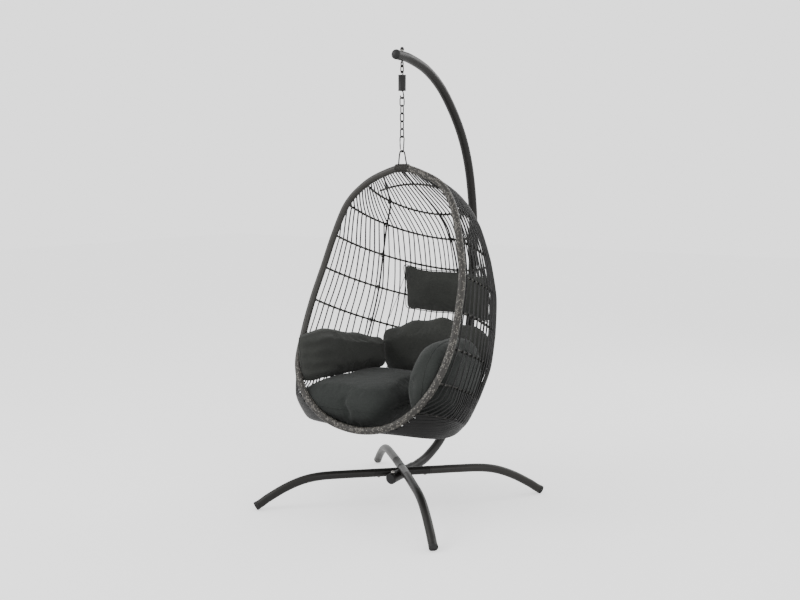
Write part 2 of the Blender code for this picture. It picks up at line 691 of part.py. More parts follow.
def basket_offset(level, across, outward):
    """Point on the egg surface moved outward along its normal, in world coordinates."""
    small = 0.01
    low = max(level - small, 0.0)
    high = min(level + small, LAST_LEVEL)
    down = basket_point(high, across) - basket_point(low, across)
    over = basket_point(level, across + small) - basket_point(level, across - small)
    point = basket_point(level, across)
    normal = down.cross(over).normalized()
    if normal.dot(point - INSIDE_POINT) < 0:
        normal = -normal
    point = point + normal * outward
    return on_axis(*point)


def build_basket_frame(collection):
    half = [Vector(point) for point in RIM_OUTLINE]
    mirrored = [Vector((-point.x, point.y, point.z)) for point in half[-2:0:-1]]
    outline = [on_axis(*point) for point in half + mirrored]
    tube("rim", smooth(outline, 2, closed=True), RIM_RADIUS, 2, WICKER, collection, closed=True)
    rim_line = smooth(outline, 12, closed=True)

    for number in range(1, len(HOOPS) + 1):
        fine = [on_axis(*hoop_point(number, -1 + 2 * step / 160)) for step in range(161)]
        start = RIM_RADIUS + HOOP_END_GAP
        if number == len(HOOPS):
            start += HOOP_RADIUS    # the lowest hoop leaves the rim nearly along it
        keep = [point for point in fine
                if min((point - rim_point).length for rim_point in rim_line) > start]
        spread = [keep[round(step * (len(keep) - 1) / HOOP_STEPS)]
                  for step in range(HOOP_STEPS + 1)]
        tube("hoop_%d" % number, spread, HOOP_RADIUS, 1, WICKER, collection)

    for name, (across, upper, lower) in RIBS.items():
        for piece, (start, end), steps in (("rib_top_", upper, RIB_TOP_STEPS),
                                           ("rib_", lower, RIB_STEPS)):
            points = [basket_offset(start + (end - start) * step / steps, across, -RIB_DEPTH)
                      for step in range(steps + 1)]
            tube(piece + name, points, RIB_RADIUS, 1, WICKER, collection)

    bar = []
    for step in range(CROSSBAR_STEPS + 1):
        part = -1 + 2 * step / CROSSBAR_STEPS
        rise = CROSSBAR_RISE * (1 - part ** 2)
        bar.append(on_axis(CROSSBAR_HALF * part, CROSSBAR_BACK, CROSSBAR_HEIGHT + rise))
    tube("crossbar", bar, HOOP_RADIUS, 1, WICKER, collection)

    foot = RIM_OUTLINE[0][2] + LOOP_FOOT_HEIGHT
    loop = [on_axis(x, back, foot + rise) for x, back, rise in (LOOP_FOOT, LOOP_SIDE)]
    loop += [on_axis(x, back, LOOP_APEX + rise) for x, back, rise in LOOP_SHOULDERS]
    loop += [Vector((-point.x, point.y, point.z)) for point in loop[-2::-1]]
    tube("hanging_loop", smooth(loop, 2), LOOP_WIRE, 2, HARDWARE, collection)


def net_level(level, across):
    """The net's own levels, where 0 is its top edge, as levels on the basket's surface."""
    top = NET_TOP_CENTRE + (NET_TOP_SIDE - NET_TOP_CENTRE) * across ** 2
    return level if level >= 1 else top + (1 - top) * level


def build_net(collection):
    """The wicker strands as open net panels, just outside the hoops."""
    rows = [(level, False) for level in NET_OTHER_LEVELS]
    for level in NET_TIED_LEVELS:
        rows += [(level - NET_BAND_HALF, True), (level + NET_BAND_HALF, False)]
    rows.sort()
    for panel, panel_name in enumerate(NET_PANELS):
        columns = []
        for index in range(panel * STRANDS_PER_PANEL, (panel + 1) * STRANDS_PER_PANEL):
            middle = -NET_REACH + 2 * NET_REACH * index / (NET_STRANDS - 1)
            columns += [middle - NET_STRAND_HALF, middle + NET_STRAND_HALF]
        build_net_panel("wicker_net_" + panel_name, rows, columns, collection)


def build_net_panel(name, rows, columns, collection):
    """Flat strands down every other column, joined across by the rows that start a band."""
    work = bmesh.new()
    grid = [[work.verts.new(basket_offset(net_level(level, across), across, NET_OUTWARD))
             for across in columns] for level, starts_band in rows]
    for row in range(len(rows) - 1):
        starts_band = rows[row][1]
        for column in range(len(columns) - 1):
            if starts_band or column % 2 == 0:
                work.faces.new((grid[row][column], grid[row + 1][column],
                                grid[row + 1][column + 1], grid[row][column + 1]))
    mesh = bpy.data.meshes.new(name)
    work.to_mesh(mesh)
    work.free()
    net = bpy.data.objects.new(name, mesh)
    finish(net, WICKER, collection)
    solidify = net.modifiers.new("thickness", "SOLIDIFY")
    solidify.thickness = NET_THICKNESS
    solidify.offset = 0.0


# ---------------------------------------------------------------- cushions
def cube_grid(counts):
    """A closed cube of side 2 with counts faces along each axis, as an open bmesh."""
    work = bmesh.new()
    corners = {}

    def corner(place):
        key = tuple(round(value, 5) for value in place)
        if key not in corners:
            corners[key] = work.verts.new(place)
        return corners[key]

    for fixed in range(3):
        first, second = [axis for axis in range(3) if axis != fixed]
        for side in (-1, 1):
            grid = []
            for i in range(counts[first] + 1):
                row = []
                for j in range(counts[second] + 1):
                    place = [0.0, 0.0, 0.0]
                    place[fixed] = side
                    place[first] = -1 + 2 * i / counts[first]
                    place[second] = -1 + 2 * j / counts[second]
                    row.append(corner(place))
                grid.append(row)
            for i in range(counts[first]):
                for j in range(counts[second]):
                    work.faces.new((grid[i][j], grid[i + 1][j], grid[i + 1][j + 1], grid[i][j + 1]))
    bmesh.ops.recalc_face_normals(work, faces=work.faces)
    return work


def crowned(place, thin, outline, section):
    """Moves a point of the cube of side 2 onto a rounded outline with a crowned section."""
    flat = [abs(place[axis]) for axis in range(3) if axis != thin]
    ring = (flat[0] ** outline + flat[1] ** outline) ** (1 / outline)
    reach = (ring ** section + abs(place[thin]) ** section) ** (1 / section)
    return place * (max(*flat, abs(place[thin])) / reach)


def surface_samples():
    """Points just inside the basket's frame with their outward directions, for fitting."""
    tree = KDTree((SURFACE_LEVELS + 1) * (SURFACE_STEPS + 1))
    directions = []
    for row in range(SURFACE_LEVELS + 1):
        for column in range(SURFACE_STEPS + 1):
            level = LAST_LEVEL * row / SURFACE_LEVELS
            across = 0.98 * (-1 + 2 * column / SURFACE_STEPS)
            inner = basket_offset(level, across, -CUSHION_CLEARANCE)
            outer = basket_offset(level, across, 0)
            tree.insert(inner, len(directions))
            directions.append((outer - inner).normalized())
    tree.balance()
    return tree, directions


def fitted(point, samples, rim_line):
    """The point, pressed in where it would pass through the basket or the rim."""
    tree, directions = samples
    for _ in range(FITTING_PASSES):
        sample, index, _ = tree.find(point)
        beyond = (point - sample).dot(directions[index])
        if beyond > 0:
            point = point - directions[index] * beyond
        nearest = min(rim_line, key=lambda spot: (point - spot).length_squared)
        inward = (on_axis(*INSIDE_POINT) - nearest).normalized()
        away = point - nearest
        if away.length < RIM_REACH and away.dot(inward) < 0:
            away -= 2 * away.dot(inward) * inward
        point = nearest + away.normalized() * max(away.length, RIM_RADIUS + CUSHION_RIM_CLEARANCE)
    return point


def build_cushions(collection):
    """Plain crowned solids for the soft pieces, fitted to the basket around them."""
    samples = surface_samples()
    half = [Vector(point) for point in RIM_OUTLINE]
    mirrored = [Vector((-point.x, point.y, point.z)) for point in half[-2:0:-1]]
    rim_line = smooth([on_axis(*point) for point in half + mirrored], 16, closed=True)
    for name, (place, size, turns, lower, rear, thin, outline, section) in CUSHIONS.items():
        work = cube_grid([max(3, round(length / CUSHION_STEP)) for length in size])
        turn = Euler([math.radians(angle) for angle in turns]).to_matrix()
        for vertex in work.verts:
            point = crowned(vertex.co, thin, outline, section)
            point.x *= 1 + (lower - 1) * (0.5 - 0.5 * point.z)
            point.x *= 1 + (rear - 1) * (0.5 + 0.5 * point.y)
            point = Vector([point[axis] * size[axis] / 2 for axis in range(3)])
            vertex.co = fitted(on_axis(*place) + turn @ point, samples, rim_line)
        mesh = bpy.data.meshes.new(name)
        work.to_mesh(mesh)
        work.free()
        thing = finish(bpy.data.objects.new(name, mesh), FABRIC, collection)
        thing.data.shade_smooth()


# ---------------------------------------------------------------- moving groups
def pivot_at(name, place, parent, nodes):
    """An empty on a joint's axis that carries the named pieces and any later pivot."""
    empty = bpy.data.objects.new(name, None)
    bpy.context.scene.collection.objects.link(empty)
    empty.parent = parent
    empty.location = place - parent.matrix_world.translation if parent else place
    bpy.context.view_layer.update()
    for node in nodes:
        thing = bpy.data.objects[node]
        thing.parent = empty
        thing.matrix_parent_inverse = Matrix.Translation(-place)
    return empty


def pivot(name, height, parent, nodes):
    return pivot_at(name, on_axis(0, 0, height), parent, nodes)


def build_pivots():
    sway = pivot("upper_link_pivot", EYE_BOTTOM, None, ["upper_link"])
    swing = pivot("spring_pivot", SPRING_PIVOT, sway, ["spring_top_hook", "spring_coil"])
    stretch = pivot("spring_slide", COIL_BOTTOM, swing, ["spring_sleeve"])
    turning = ["spring_lower_hook", "carabiner_body"]
    turning += ["chain_link_%d" % number for number in range(1, len(LINK_TURNS) + 1)]
    swivel = pivot("swivel", SLEEVE_BOTTOM, stretch, turning)
    gate_across = -CARABINER_NARROW - GATE_PIVOT_ACROSS
    pivot_at("gate_pivot", turned_point(CARABINER_TURN, gate_across,
                                        CARABINER_BOTTOM + GATE_PIVOT_RISE),
             swivel, ["carabiner_gate"])
    basket = ["hanging_loop", "rim", "crossbar", *CUSHIONS]
    basket += ["wicker_net_" + panel for panel in NET_PANELS]
    basket += ["hoop_%d" % number for number in range(1, len(HOOPS) + 1)]
    basket += [piece + name for piece in ("rib_top_", "rib_") for name in RIBS]
    pivot("basket_pivot", LOOP_APEX, swivel, basket)


def main():
    clear_scene()
    parts = new_collection("hanging_egg_chair")
    cutters = new_collection("cutters")
    cutters.hide_render = True
    build_stand(parts, cutters)
    build_eye_bolt(parts)
    build_hardware(parts)
    build_basket_frame(parts)
    build_net(parts)
    build_cushions(parts)
    build_pivots()
    for cutter in list(cutters.objects):
        bpy.data.objects.remove(cutter, do_unlink=True)


main()
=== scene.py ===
"""The hanging egg chair's looks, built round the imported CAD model.

Everything is in metres in the CAD's frame: +Z up, the basket opens towards -Y. Points on the
basket, the post and the hardware are given from the vertical hanging axis, which passes
through the eye bolt. The same outline tables shape the CAD solids, so the pieces coincide.
"""

import json
import math
import random
from typing import NamedTuple

import bmesh
import bpy
import numpy as np
from mathutils import Matrix, Vector, noise
from mathutils.bvhtree import BVHTree
from mathutils.kdtree import KDTree


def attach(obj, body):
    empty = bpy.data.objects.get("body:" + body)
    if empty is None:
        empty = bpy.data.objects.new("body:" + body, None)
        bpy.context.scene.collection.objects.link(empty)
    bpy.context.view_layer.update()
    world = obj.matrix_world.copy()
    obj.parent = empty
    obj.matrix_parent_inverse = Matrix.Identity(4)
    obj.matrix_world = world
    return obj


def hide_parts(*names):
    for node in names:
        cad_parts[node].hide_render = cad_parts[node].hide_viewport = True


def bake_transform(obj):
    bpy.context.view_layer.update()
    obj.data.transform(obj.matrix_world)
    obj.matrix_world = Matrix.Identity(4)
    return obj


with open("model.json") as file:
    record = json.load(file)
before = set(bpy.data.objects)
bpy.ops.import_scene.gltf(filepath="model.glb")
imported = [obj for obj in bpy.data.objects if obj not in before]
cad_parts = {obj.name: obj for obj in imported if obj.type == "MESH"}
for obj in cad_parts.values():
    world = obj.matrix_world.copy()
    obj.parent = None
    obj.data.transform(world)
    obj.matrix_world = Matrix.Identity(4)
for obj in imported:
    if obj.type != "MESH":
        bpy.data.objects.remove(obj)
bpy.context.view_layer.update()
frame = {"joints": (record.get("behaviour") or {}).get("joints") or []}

JOINTS = {joint["name"]: joint for joint in frame["joints"]}
HANG_Y = JOINTS["side_sway"]["pos_m"][1]
GAP = 0.0003

# ---------------------------------------------------------------- driving dimensions
LEG_RADIUS = 0.018
LEG_REACH = 0.622               # from the hanging axis to where each foot touches the floor
STUB_REACH = 0.122
LOW_BAR = 0.133                 # axis height of the front-left to rear-right pair
HIGH_BAR = 0.148                # axis height of the other pair, which crosses above it
FOOT_CAP_LENGTH = 0.014
FOOT_CAP_RADIUS = 0.0188
FOOT_FLAT = 0.0025
FOOT_SLOPE = math.radians(31)
LEGS = {"front_left": (-135, LOW_BAR), "front_right": (-45, HIGH_BAR),
        "rear_right": (45, LOW_BAR), "rear_left": (135, HIGH_BAR)}
LEG_PROFILE = ((0.140, 0.0), (0.250, 0.0), (0.350, 0.002), (0.425, 0.014), (0.500, 0.042),
               (0.575, 0.083))

POST_RADIUS = 0.020
HUB_RADIUS = 0.0235
HUB_FRONT = -0.082
HUB_REAR = 0.085
HUB_HEIGHT = 0.126
HUB_TILT = math.radians(4)
WELD_POINTS = 72                # round each leg stub's weld
POST_UPPER = ((-0.040, 1.8985), (0.060, 1.889), (0.200, 1.847), (0.332, 1.761), (0.464, 1.611),
              (0.544, 1.450), (0.586, 1.255), (0.594, 1.100), (0.588, 0.950))
POST_JOINT = (0.574, 0.740)
JOINT_LEAN = math.radians(7)
JOINT_STRAIGHT = 0.020
POST_LOWER = ((0.540, 0.560), (0.461, 0.375), (0.334, 0.226), (0.209, 0.157), (0.100, 0.133))
POST_CREST = 1.9175

EYE_TOP = 1.8725
EYE_BOTTOM = JOINTS["side_sway"]["pos_m"][2]
EYE_WIRE = 0.0030
LINK_WIRE = 0.0025
SPRING_WIRE = 0.0026
CARABINER_WIRE = 0.0026
LOOP_WIRE = 0.0030
UPPER_LINK_HALF_WIDTH = 0.0062
UPPER_LINK_HALF_HEIGHT = 0.0142
LINK_HALF_WIDTH = 0.0092
LINK_HALF_HEIGHT = 0.0186
LINK_TURNS = (10, 90, -8, 88, -12)
LOWER_HOOK_TURN = 84
LOWER_HOOK_RADIUS = 0.0105
LOWER_HOOK_BOTTOM = 1.7223
CARABINER_TURN = 68
CARABINER_BOTTOM = 1.5026
CARABINER_WIDE = 0.0100
CARABINER_NARROW = 0.0070
GATE_PIVOT_ACROSS = 0.0014
GATE_PIVOT_RISE = 0.0080
GATE_END_ROOM = 0.0016          # keeps the gate bar's lower end off the body as it opens
LOOP_APEX = JOINTS["basket_tilt"]["pos_m"][2]
SLEEVE_RADIUS = 0.0165
SLEEVE_TOP = 1.819
SLEEVE_BOTTOM = 1.754
COIL_RADIUS = 0.0105
COIL_WIRE = 0.0019
COIL_TURNS = 11
COIL_STEPS = 24                 # points in one turn
COIL_TOP = 1.8060
COIL_BOTTOM = 1.7670

RIM_RADIUS = 0.0145
HOOP_RADIUS = 0.0048
RIB_RADIUS = 0.0040
STRAND_RADIUS = 0.0031
# right half of the rim from top to bottom: x, y from the hanging axis, z
RIM_OUTLINE = ((0.000, 0.005, 1.4365), (0.100, 0.005, 1.4120), (0.195, 0.002, 1.3650),
               (0.268, -0.027, 1.2820), (0.316, -0.057, 1.1500), (0.350, -0.090, 1.0120),
               (0.367, -0.145, 0.8770), (0.371, -0.204, 0.7380), (0.347, -0.274, 0.6070),
               (0.275, -0.316, 0.4950), (0.155, -0.333, 0.4130), (0.000, -0.336, 0.3840))
# hoops: height of the ends on the rim, widest half width, depth, slope in degrees
HOOPS = ((1.370, 0.202, 0.340, 24), (1.282, 0.270, 0.465, 21), (1.150, 0.318, 0.550, 19),
         (1.012, 0.352, 0.615, 19), (0.877, 0.372, 0.655, 20), (0.738, 0.386, 0.655, 20),
         (0.607, 0.389, 0.600, 20), (0.490, 0.375, 0.500, 19), (0.412, 0.310, 0.330, 16))
WIDEST_BEHIND_RIM = 0.10
TOP_ARC = 0.165
BOTTOM_ARC = 0.135
LAST_LEVEL = len(HOOPS) + 1
INSIDE_POINT = Vector((0, 0.10, 0.85))
# ribs: place across the hoops, levels of the upper length's ends and of the lower length's
RIBS = {"left": (-0.59, (0.11, 0.43), (0.56, 9.72)), "centre": (0.0, (0.07, 0.23), (0.33, 9.72)),
        "right": (0.59, (0.11, 0.43), (0.56, 9.72))}
CROSSBAR_HALF = 0.180
CROSSBAR_BACK = 0.095
CROSSBAR_HEIGHT = 1.338
CROSSBAR_RISE = 0.030


# ---------------------------------------------------------------- points and curves
def on_axis(x, y, z):
    """A point given from the hanging axis, in the CAD's frame."""
    return Vector((x, y + HANG_Y, z))


def spline_point(before, start, end, after, part):
    return 0.5 * (2.0 * start + (end - before) * part
                  + (2.0 * before - 5.0 * start + 4.0 * end - after) * part ** 2
                  + (3.0 * start - before - 3.0 * end + after) * part ** 3)


def smooth(points, steps, closed=False):
    """Points along a smooth curve through the given ones, with steps per stretch."""
    count = len(points)
    result = []
    for index in range(count if closed else count - 1):
        if closed:
            quad = [points[(index + shift) % count] for shift in (-1, 0, 1, 2)]
        else:
            start, end = points[index], points[index + 1]
            before = points[index - 1] if index > 0 else 2.0 * start - end
            after = points[index + 2] if index + 2 < count else 2.0 * end - start
            quad = [before, start, end, after]
        result += [spline_point(*quad, step / steps) for step in range(steps)]
    if not closed:
        result.append(points[-1].copy())
    return result


def spaced(points, spacing, closed=False):
    """The same line with points at an even spacing."""
    line = list(points) + ([points[0]] if closed else [])
    lengths = [0.0]
    for first, second in zip(line, line[1:]):
        lengths.append(lengths[-1] + (second - first).length)
    count = max(2, round(lengths[-1] / spacing))
    targets = np.linspace(0, lengths[-1], count + 1)
    flat = np.array([tuple(point) for point in line])
    even = np.stack([np.interp(targets, lengths, flat[:, axis]) for axis in range(3)], axis=1)
    if closed:
        even = even[:-1]
    return [Vector(point) for point in even]


def heading(turn):
    """The level direction at turn degrees from +X."""
    angle = math.radians(turn)
    return Vector((math.cos(angle), math.sin(angle), 0.0))


def turned_point(turn, across, height):
    """A point in the upright plane through the hanging axis turned by turn degrees."""
    angle = math.radians(turn)
    return on_axis(across * math.cos(angle), across * math.sin(angle), height)


# ---------------------------------------------------------------- building pieces
def ready(thing, body, material, *nodes, slot=None):
    """Gives a new piece its material and body, and hides the CAD nodes that it stands for."""
    if not thing.users_collection:
        bpy.context.scene.collection.objects.link(thing)
    thing.data.materials.clear()
    thing.data.materials.append(material)
    if thing.type == "MESH":
        thing.data.shade_smooth()
    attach(thing, body)
    if nodes:
        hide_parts(*nodes)
    return thing


def tube_object(name, lines, radius, sides=12, closed=False):
    """Round rods along one or more lines, as one curve object."""
    curve = bpy.data.curves.new(name, "CURVE")
    curve.dimensions = "3D"
    curve.bevel_depth = radius
    curve.bevel_resolution = (sides - 4) // 2
    curve.use_fill_caps = not closed
    for points in lines:
        spline = curve.splines.new("POLY")
        spline.points.add(len(points) - 1)
        for slot, point in zip(spline.points, points):
            slot.co = (*point, 1.0)
        spline.use_cyclic_u = closed
    return bpy.data.objects.new(name, curve)


def turned_object(name, profile, place, direction, sides=48):
    """A solid turned from (radius, height) points about direction, starting at place."""
    work = bmesh.new()
    rings = []
    for radius, height in profile:
        if radius < 1e-7:
            rings.append([work.verts.new((0, 0, height))])
        else:
            rings.append([work.verts.new((radius * math.cos(2 * math.pi * side / sides),
                                          radius * math.sin(2 * math.pi * side / sides), height))
                          for side in range(sides)])
    for lower, upper in zip(rings, rings[1:]):
        for side in range(sides):
            corners = [lower[side % len(lower)], lower[(side + 1) % len(lower)],
                       upper[(side + 1) % len(upper)], upper[side % len(upper)]]
            work.faces.new(list(dict.fromkeys(corners)))
    bmesh.ops.recalc_face_normals(work, faces=work.faces)
    mesh = bpy.data.meshes.new(name)
    work.to_mesh(mesh)
    work.free()
    mesh.transform(Matrix.Translation(place) @ direction.to_track_quat("Z", "Y").to_matrix().to_4x4())
    mesh.set_sharp_from_angle(angle=math.radians(40))
    return bpy.data.objects.new(name, mesh)


def swept_frames(points, closed):
    """Tangent and two side directions at each point, turning as little as possible."""
    count = len(points)
    tangents = []
    for index in range(count):
        ahead = points[(index + 1) % count] if closed or index + 1 < count else points[index]
        behind = points[index - 1] if closed or index > 0 else points[index]
        tangents.append((ahead - behind).normalized())
    side = tangents[0].orthogonal().normalized()
    frames = []
    for tangent in tangents:
        side = (side - tangent * side.dot(tangent)).normalized()
        frames.append((tangent, side, tangent.cross(side)))
    return frames


def textured_tube(name, points, radius, relief, sides, closed=False):
    """A tube whose radius is radius + relief(distance, angle), with a tone for the shader.

    relief returns (height, tone) for arrays of distances along and angles around the tube.
    """
    count = len(points)
    frames = swept_frames(points, closed)
    along = np.array([0.0] + [(second - first).length
                              for first, second in zip(points, points[1:])]).cumsum()
    angles = np.linspace(0, 2 * math.pi, sides, endpoint=False)
    height, tone = relief(along[:, None], angles[None, :])
    reach = np.broadcast_to(radius + height, (count, sides))
    centre = np.array([tuple(point) for point in points])[:, None, :]
    side = np.array([tuple(entry[1]) for entry in frames])[:, None, :]
    other = np.array([tuple(entry[2]) for entry in frames])[:, None, :]
    places = (centre + side * (reach * np.cos(angles))[..., None]
              + other * (reach * np.sin(angles))[..., None]).reshape(-1, 3)
    faces = []
    for ring in range(count if closed else count - 1):
        start = ring * sides
        after = ((ring + 1) % count) * sides
        for step in range(sides):
            following = (step + 1) % sides
            faces.append((start + step, start + following, after + following, after + step))
    if not closed:
        faces.append(tuple(range(sides))[::-1])
        faces.append(tuple(range((count - 1) * sides, count * sides)))
    mesh = bpy.data.meshes.new(name)
    mesh.from_pydata(places.tolist(), [], faces)
    tones = mesh.attributes.new("tone", "FLOAT", "POINT")
    tones.data.foreach_set("value", np.broadcast_to(tone, reach.shape).ravel().astype(np.float32))
    mesh.update()
    return bpy.data.objects.new(name, mesh)


def cell_tone(first, second):
    """A repeatable number from 0 to 1 for each pair of whole numbers."""
    mixed = np.sin(first * 12.9898 + second * 78.233) * 43758.5453
    return mixed - np.floor(mixed)


# ---------------------------------------------------------------- materials
def new_material(name):
    material = bpy.data.materials.new(name)
    material.use_nodes = True
    return material, material.node_tree.nodes, material.node_tree.links


def surface_material(name):
    """A new material with its shader and the coordinates that its textures use."""
    material, nodes, links = new_material(name)
    place = nodes.new("ShaderNodeTexCoord").outputs["Object"]
    return material, nodes, links, nodes["Principled BSDF"], place


def add_noise(nodes, links, coordinates, scale, detail=4.0, roughness=0.6):
    texture = nodes.new("ShaderNodeTexNoise")
    texture.inputs["Scale"].default_value = scale
    texture.inputs["Detail"].default_value = detail
    texture.inputs["Roughness"].default_value = roughness
    links.new(coordinates, texture.inputs["Vector"])
    return texture.outputs["Fac"]


def add_ramp(nodes, links, value, stops):
    ramp = nodes.new("ShaderNodeValToRGB")
    elements = ramp.color_ramp.elements
    elements[0].position, elements[0].color = stops[0]
    elements[1].position, elements[1].color = stops[-1]
    for position, colour in stops[1:-1]:
        elements.new(position).color = colour
    links.new(value, ramp.inputs["Fac"])
    return ramp.outputs["Color"]


def add_range(nodes, links, value, low, high):
    spread = nodes.new("ShaderNodeMapRange")
    spread.inputs["To Min"].default_value = low
    spread.inputs["To Max"].default_value = high
    links.new(value, spread.inputs["Value"])
    return spread.outputs["Result"]


def add_bump(nodes, links, value, strength, distance, shader, below=None):
    bump = nodes.new("ShaderNodeBump")
    bump.inputs["Strength"].default_value = strength
    bump.inputs["Distance"].default_value = distance
    links.new(value, bump.inputs["Height"])
    if below is not None:
        links.new(below, bump.inputs["Normal"])
    links.new(bump.outputs["Normal"], shader.inputs["Normal"])
    return bump.outputs["Normal"]


def grey(level, warmth=0.0):
    return (level * (1 + warmth), level, level * (1 - 1.6 * warmth), 1.0)


def powder_coat(name, level, warmth=0.06):
    """Matt powder coat: fine orange peel, faint mottling and slightly worn high spots."""
    material, nodes, links, shader, place = surface_material(name)
    mottle = add_noise(nodes, links, place, 9.0, 6.0)
    links.new(add_ramp(nodes, links, mottle, [(0.30, grey(level * 0.86, warmth)),
                                              (0.70, grey(level * 1.14, warmth))]),
              shader.inputs["Base Color"])
    links.new(add_range(nodes, links, mottle, 0.36, 0.50), shader.inputs["Roughness"])
    shader.inputs["Metallic"].default_value = 0.10
    shader.inputs["Specular IOR Level"].default_value = 0.18
    peel = add_noise(nodes, links, place, 1400.0, 2.0)
    add_bump(nodes, links, peel, 0.16, 0.0004, shader)
    return material


def bare_steel(name, level, roughness):
    """Dark oiled steel with drawing marks and a few lighter rubbed patches."""
    material, nodes, links, shader, place = surface_material(name)
    rubbed = add_noise(nodes, links, place, 260.0, 8.0, 0.7)
    links.new(add_ramp(nodes, links, rubbed, [(0.42, grey(level * 0.7, 0.05)),
                                              (0.66, grey(level * 1.7, 0.03))]),
              shader.inputs["Base Color"])
    links.new(add_range(nodes, links, rubbed, roughness + 0.12, roughness - 0.10),
              shader.inputs["Roughness"])
    shader.inputs["Metallic"].default_value = 0.9
    add_bump(nodes, links, add_noise(nodes, links, place, 1800.0, 3.0), 0.12, 0.0003, shader)
    return material


def moulded_plastic(name, level):
    material, nodes, links, shader, place = surface_material(name)
    cloud = add_noise(nodes, links, place, 45.0, 4.0)
    links.new(add_ramp(nodes, links, cloud, [(0.3, grey(level * 0.8)), (0.7, grey(level * 1.25))]),
              shader.inputs["Base Color"])
    links.new(add_range(nodes, links, cloud, 0.48, 0.62), shader.inputs["Roughness"])
    shader.inputs["Specular IOR Level"].default_value = 0.25
    add_bump(nodes, links, add_noise(nodes, links, place, 2400.0, 2.0), 0.2, 0.0002, shader)
    return material


def wicker(name, dark, light, fibre_scale=420.0):
    """Flat synthetic strand: each turn has its own tone, with fine fibres and a soft shine; on the rim the
    tone also holds painted shade and highlight from the braid's relief.
    """
    material, nodes, links, shader, place = surface_material(name)
    tone = nodes.new("ShaderNodeAttribute")
    tone.attribute_name = "tone"
    fibres = add_noise(nodes, links, place, fibre_scale, 5.0, 0.7)
    blend = nodes.new("ShaderNodeMath")
    blend.operation = "MULTIPLY_ADD"
    links.new(fibres, blend.inputs[0])
    blend.inputs[1].default_value = 0.55
    links.new(tone.outputs["Fac"], blend.inputs[2])
    links.new(add_ramp(nodes, links, blend.outputs["Value"],
                       [(0.20, dark), (0.75, tuple(0.78 * a + 0.22 * b for a, b in zip(dark, light))),
                        (1.20 / 1.3, light)]), shader.inputs["Base Color"])
    links.new(add_range(nodes, links, fibres, 0.34, 0.60), shader.inputs["Roughness"])
    shader.inputs["Specular IOR Level"].default_value = 0.25
    add_bump(nodes, links, fibres, 0.35, 0.0006, shader)
    return material


def woven_fabric(name, dark, light):
    """Charcoal outdoor cloth: two thread directions, flecked yarn, soft sheen."""
    material, nodes, links, shader, place = surface_material(name)
    melange = add_noise(nodes, links, place, 310.0, 6.0, 0.75)
    cloud = add_noise(nodes, links, place, 7.0, 3.0)
    blend = nodes.new("ShaderNodeMath")
    blend.operation = "MULTIPLY_ADD"
    links.new(cloud, blend.inputs[0])
    blend.inputs[1].default_value = 0.35
    links.new(melange, blend.inputs[2])
    links.new(add_ramp(nodes, links, blend.outputs["Value"], [(0.45, dark), (0.95, light)]),
              shader.inputs["Base Color"])
    shader.inputs["Roughness"].default_value = 0.95
    shader.inputs["Specular IOR Level"].default_value = 0.08
    shader.inputs["Sheen Weight"].default_value = 0.06
    shader.inputs["Sheen Roughness"].default_value = 0.5
    threads = []
    for turn in ((0.0, 0.0, 0.0), (0.0, math.radians(90), 0.0), (0.0, 0.0, math.radians(90))):
        mapping = nodes.new("ShaderNodeMapping")
        mapping.inputs["Rotation"].default_value = turn
        links.new(place, mapping.inputs["Vector"])
        wave = nodes.new("ShaderNodeTexWave")
        wave.wave_type = "BANDS"
        wave.inputs["Scale"].default_value = 330.0
        wave.inputs["Distortion"].default_value = 2.0
        wave.inputs["Detail"].default_value = 1.0
        wave.inputs["Detail Scale"].default_value = 1.5
        links.new(mapping.outputs["Vector"], wave.inputs["Vector"])
        threads.append(wave.outputs["Fac"])
    total = threads[0]
    for thread in threads[1:]:
        add = nodes.new("ShaderNodeMath")
        add.operation = "ADD"
        links.new(total, add.inputs[0])
        links.new(thread, add.inputs[1])
        total = add.outputs["Value"]
    weave = add_bump(nodes, links, total, 0.22, 0.0005, shader)
    rumple = add_noise(nodes, links, place, 26.0, 5.0, 0.6)
    add_bump(nodes, links, rumple, 0.35, 0.004, shader, below=weave)
    return material


STEEL = powder_coat("dark_grey_powder_coat", 0.0072)
# Painted light: a lighter copy of the same dark grey powder coat, put on the rear legs only.
PAINTED_LIGHT_REAR_STEEL = powder_coat("grey_powder_coat", 0.014)
HARDWARE = bare_steel("dark_oiled_steel", 0.013, 0.42)
BRIGHT = bare_steel("zinc_plated_steel", 0.42, 0.34)
PLASTIC = moulded_plastic("black_moulded_plastic", 0.003)
RIM_WICKER = wicker("rim_winding", grey(0.004, 0.10), grey(0.088, 0.07))
HOOP_WICKER = wicker("hoop_winding", grey(0.003, 0.08), grey(0.060, 0.06))
STRAND_WICKER = wicker("round_strand", grey(0.001, 0.06), grey(0.005, 0.05))
BINDING = wicker("binding_strand", grey(0.012, 0.08), grey(0.220, 0.06))
FABRIC = woven_fabric("charcoal_cloth", (0.0132, 0.0138, 0.0127, 1.0), (0.0345, 0.0360, 0.0330, 1.0))
# Painted shade: a darker, cooler copy of the same cushion cloth, for the seat and the right wing cushion,
# which lie in shade.
PAINTED_SHADE_FABRIC = woven_fabric("painted_shade_cloth", (0.0088, 0.0099, 0.0092, 1.0), (0.0252, 0.0278, 0.0260, 1.0))
THREAD = woven_fabric("dark_sewing_thread", (0.004, 0.004, 0.004, 1.0), (0.010, 0.010, 0.010, 1.0))


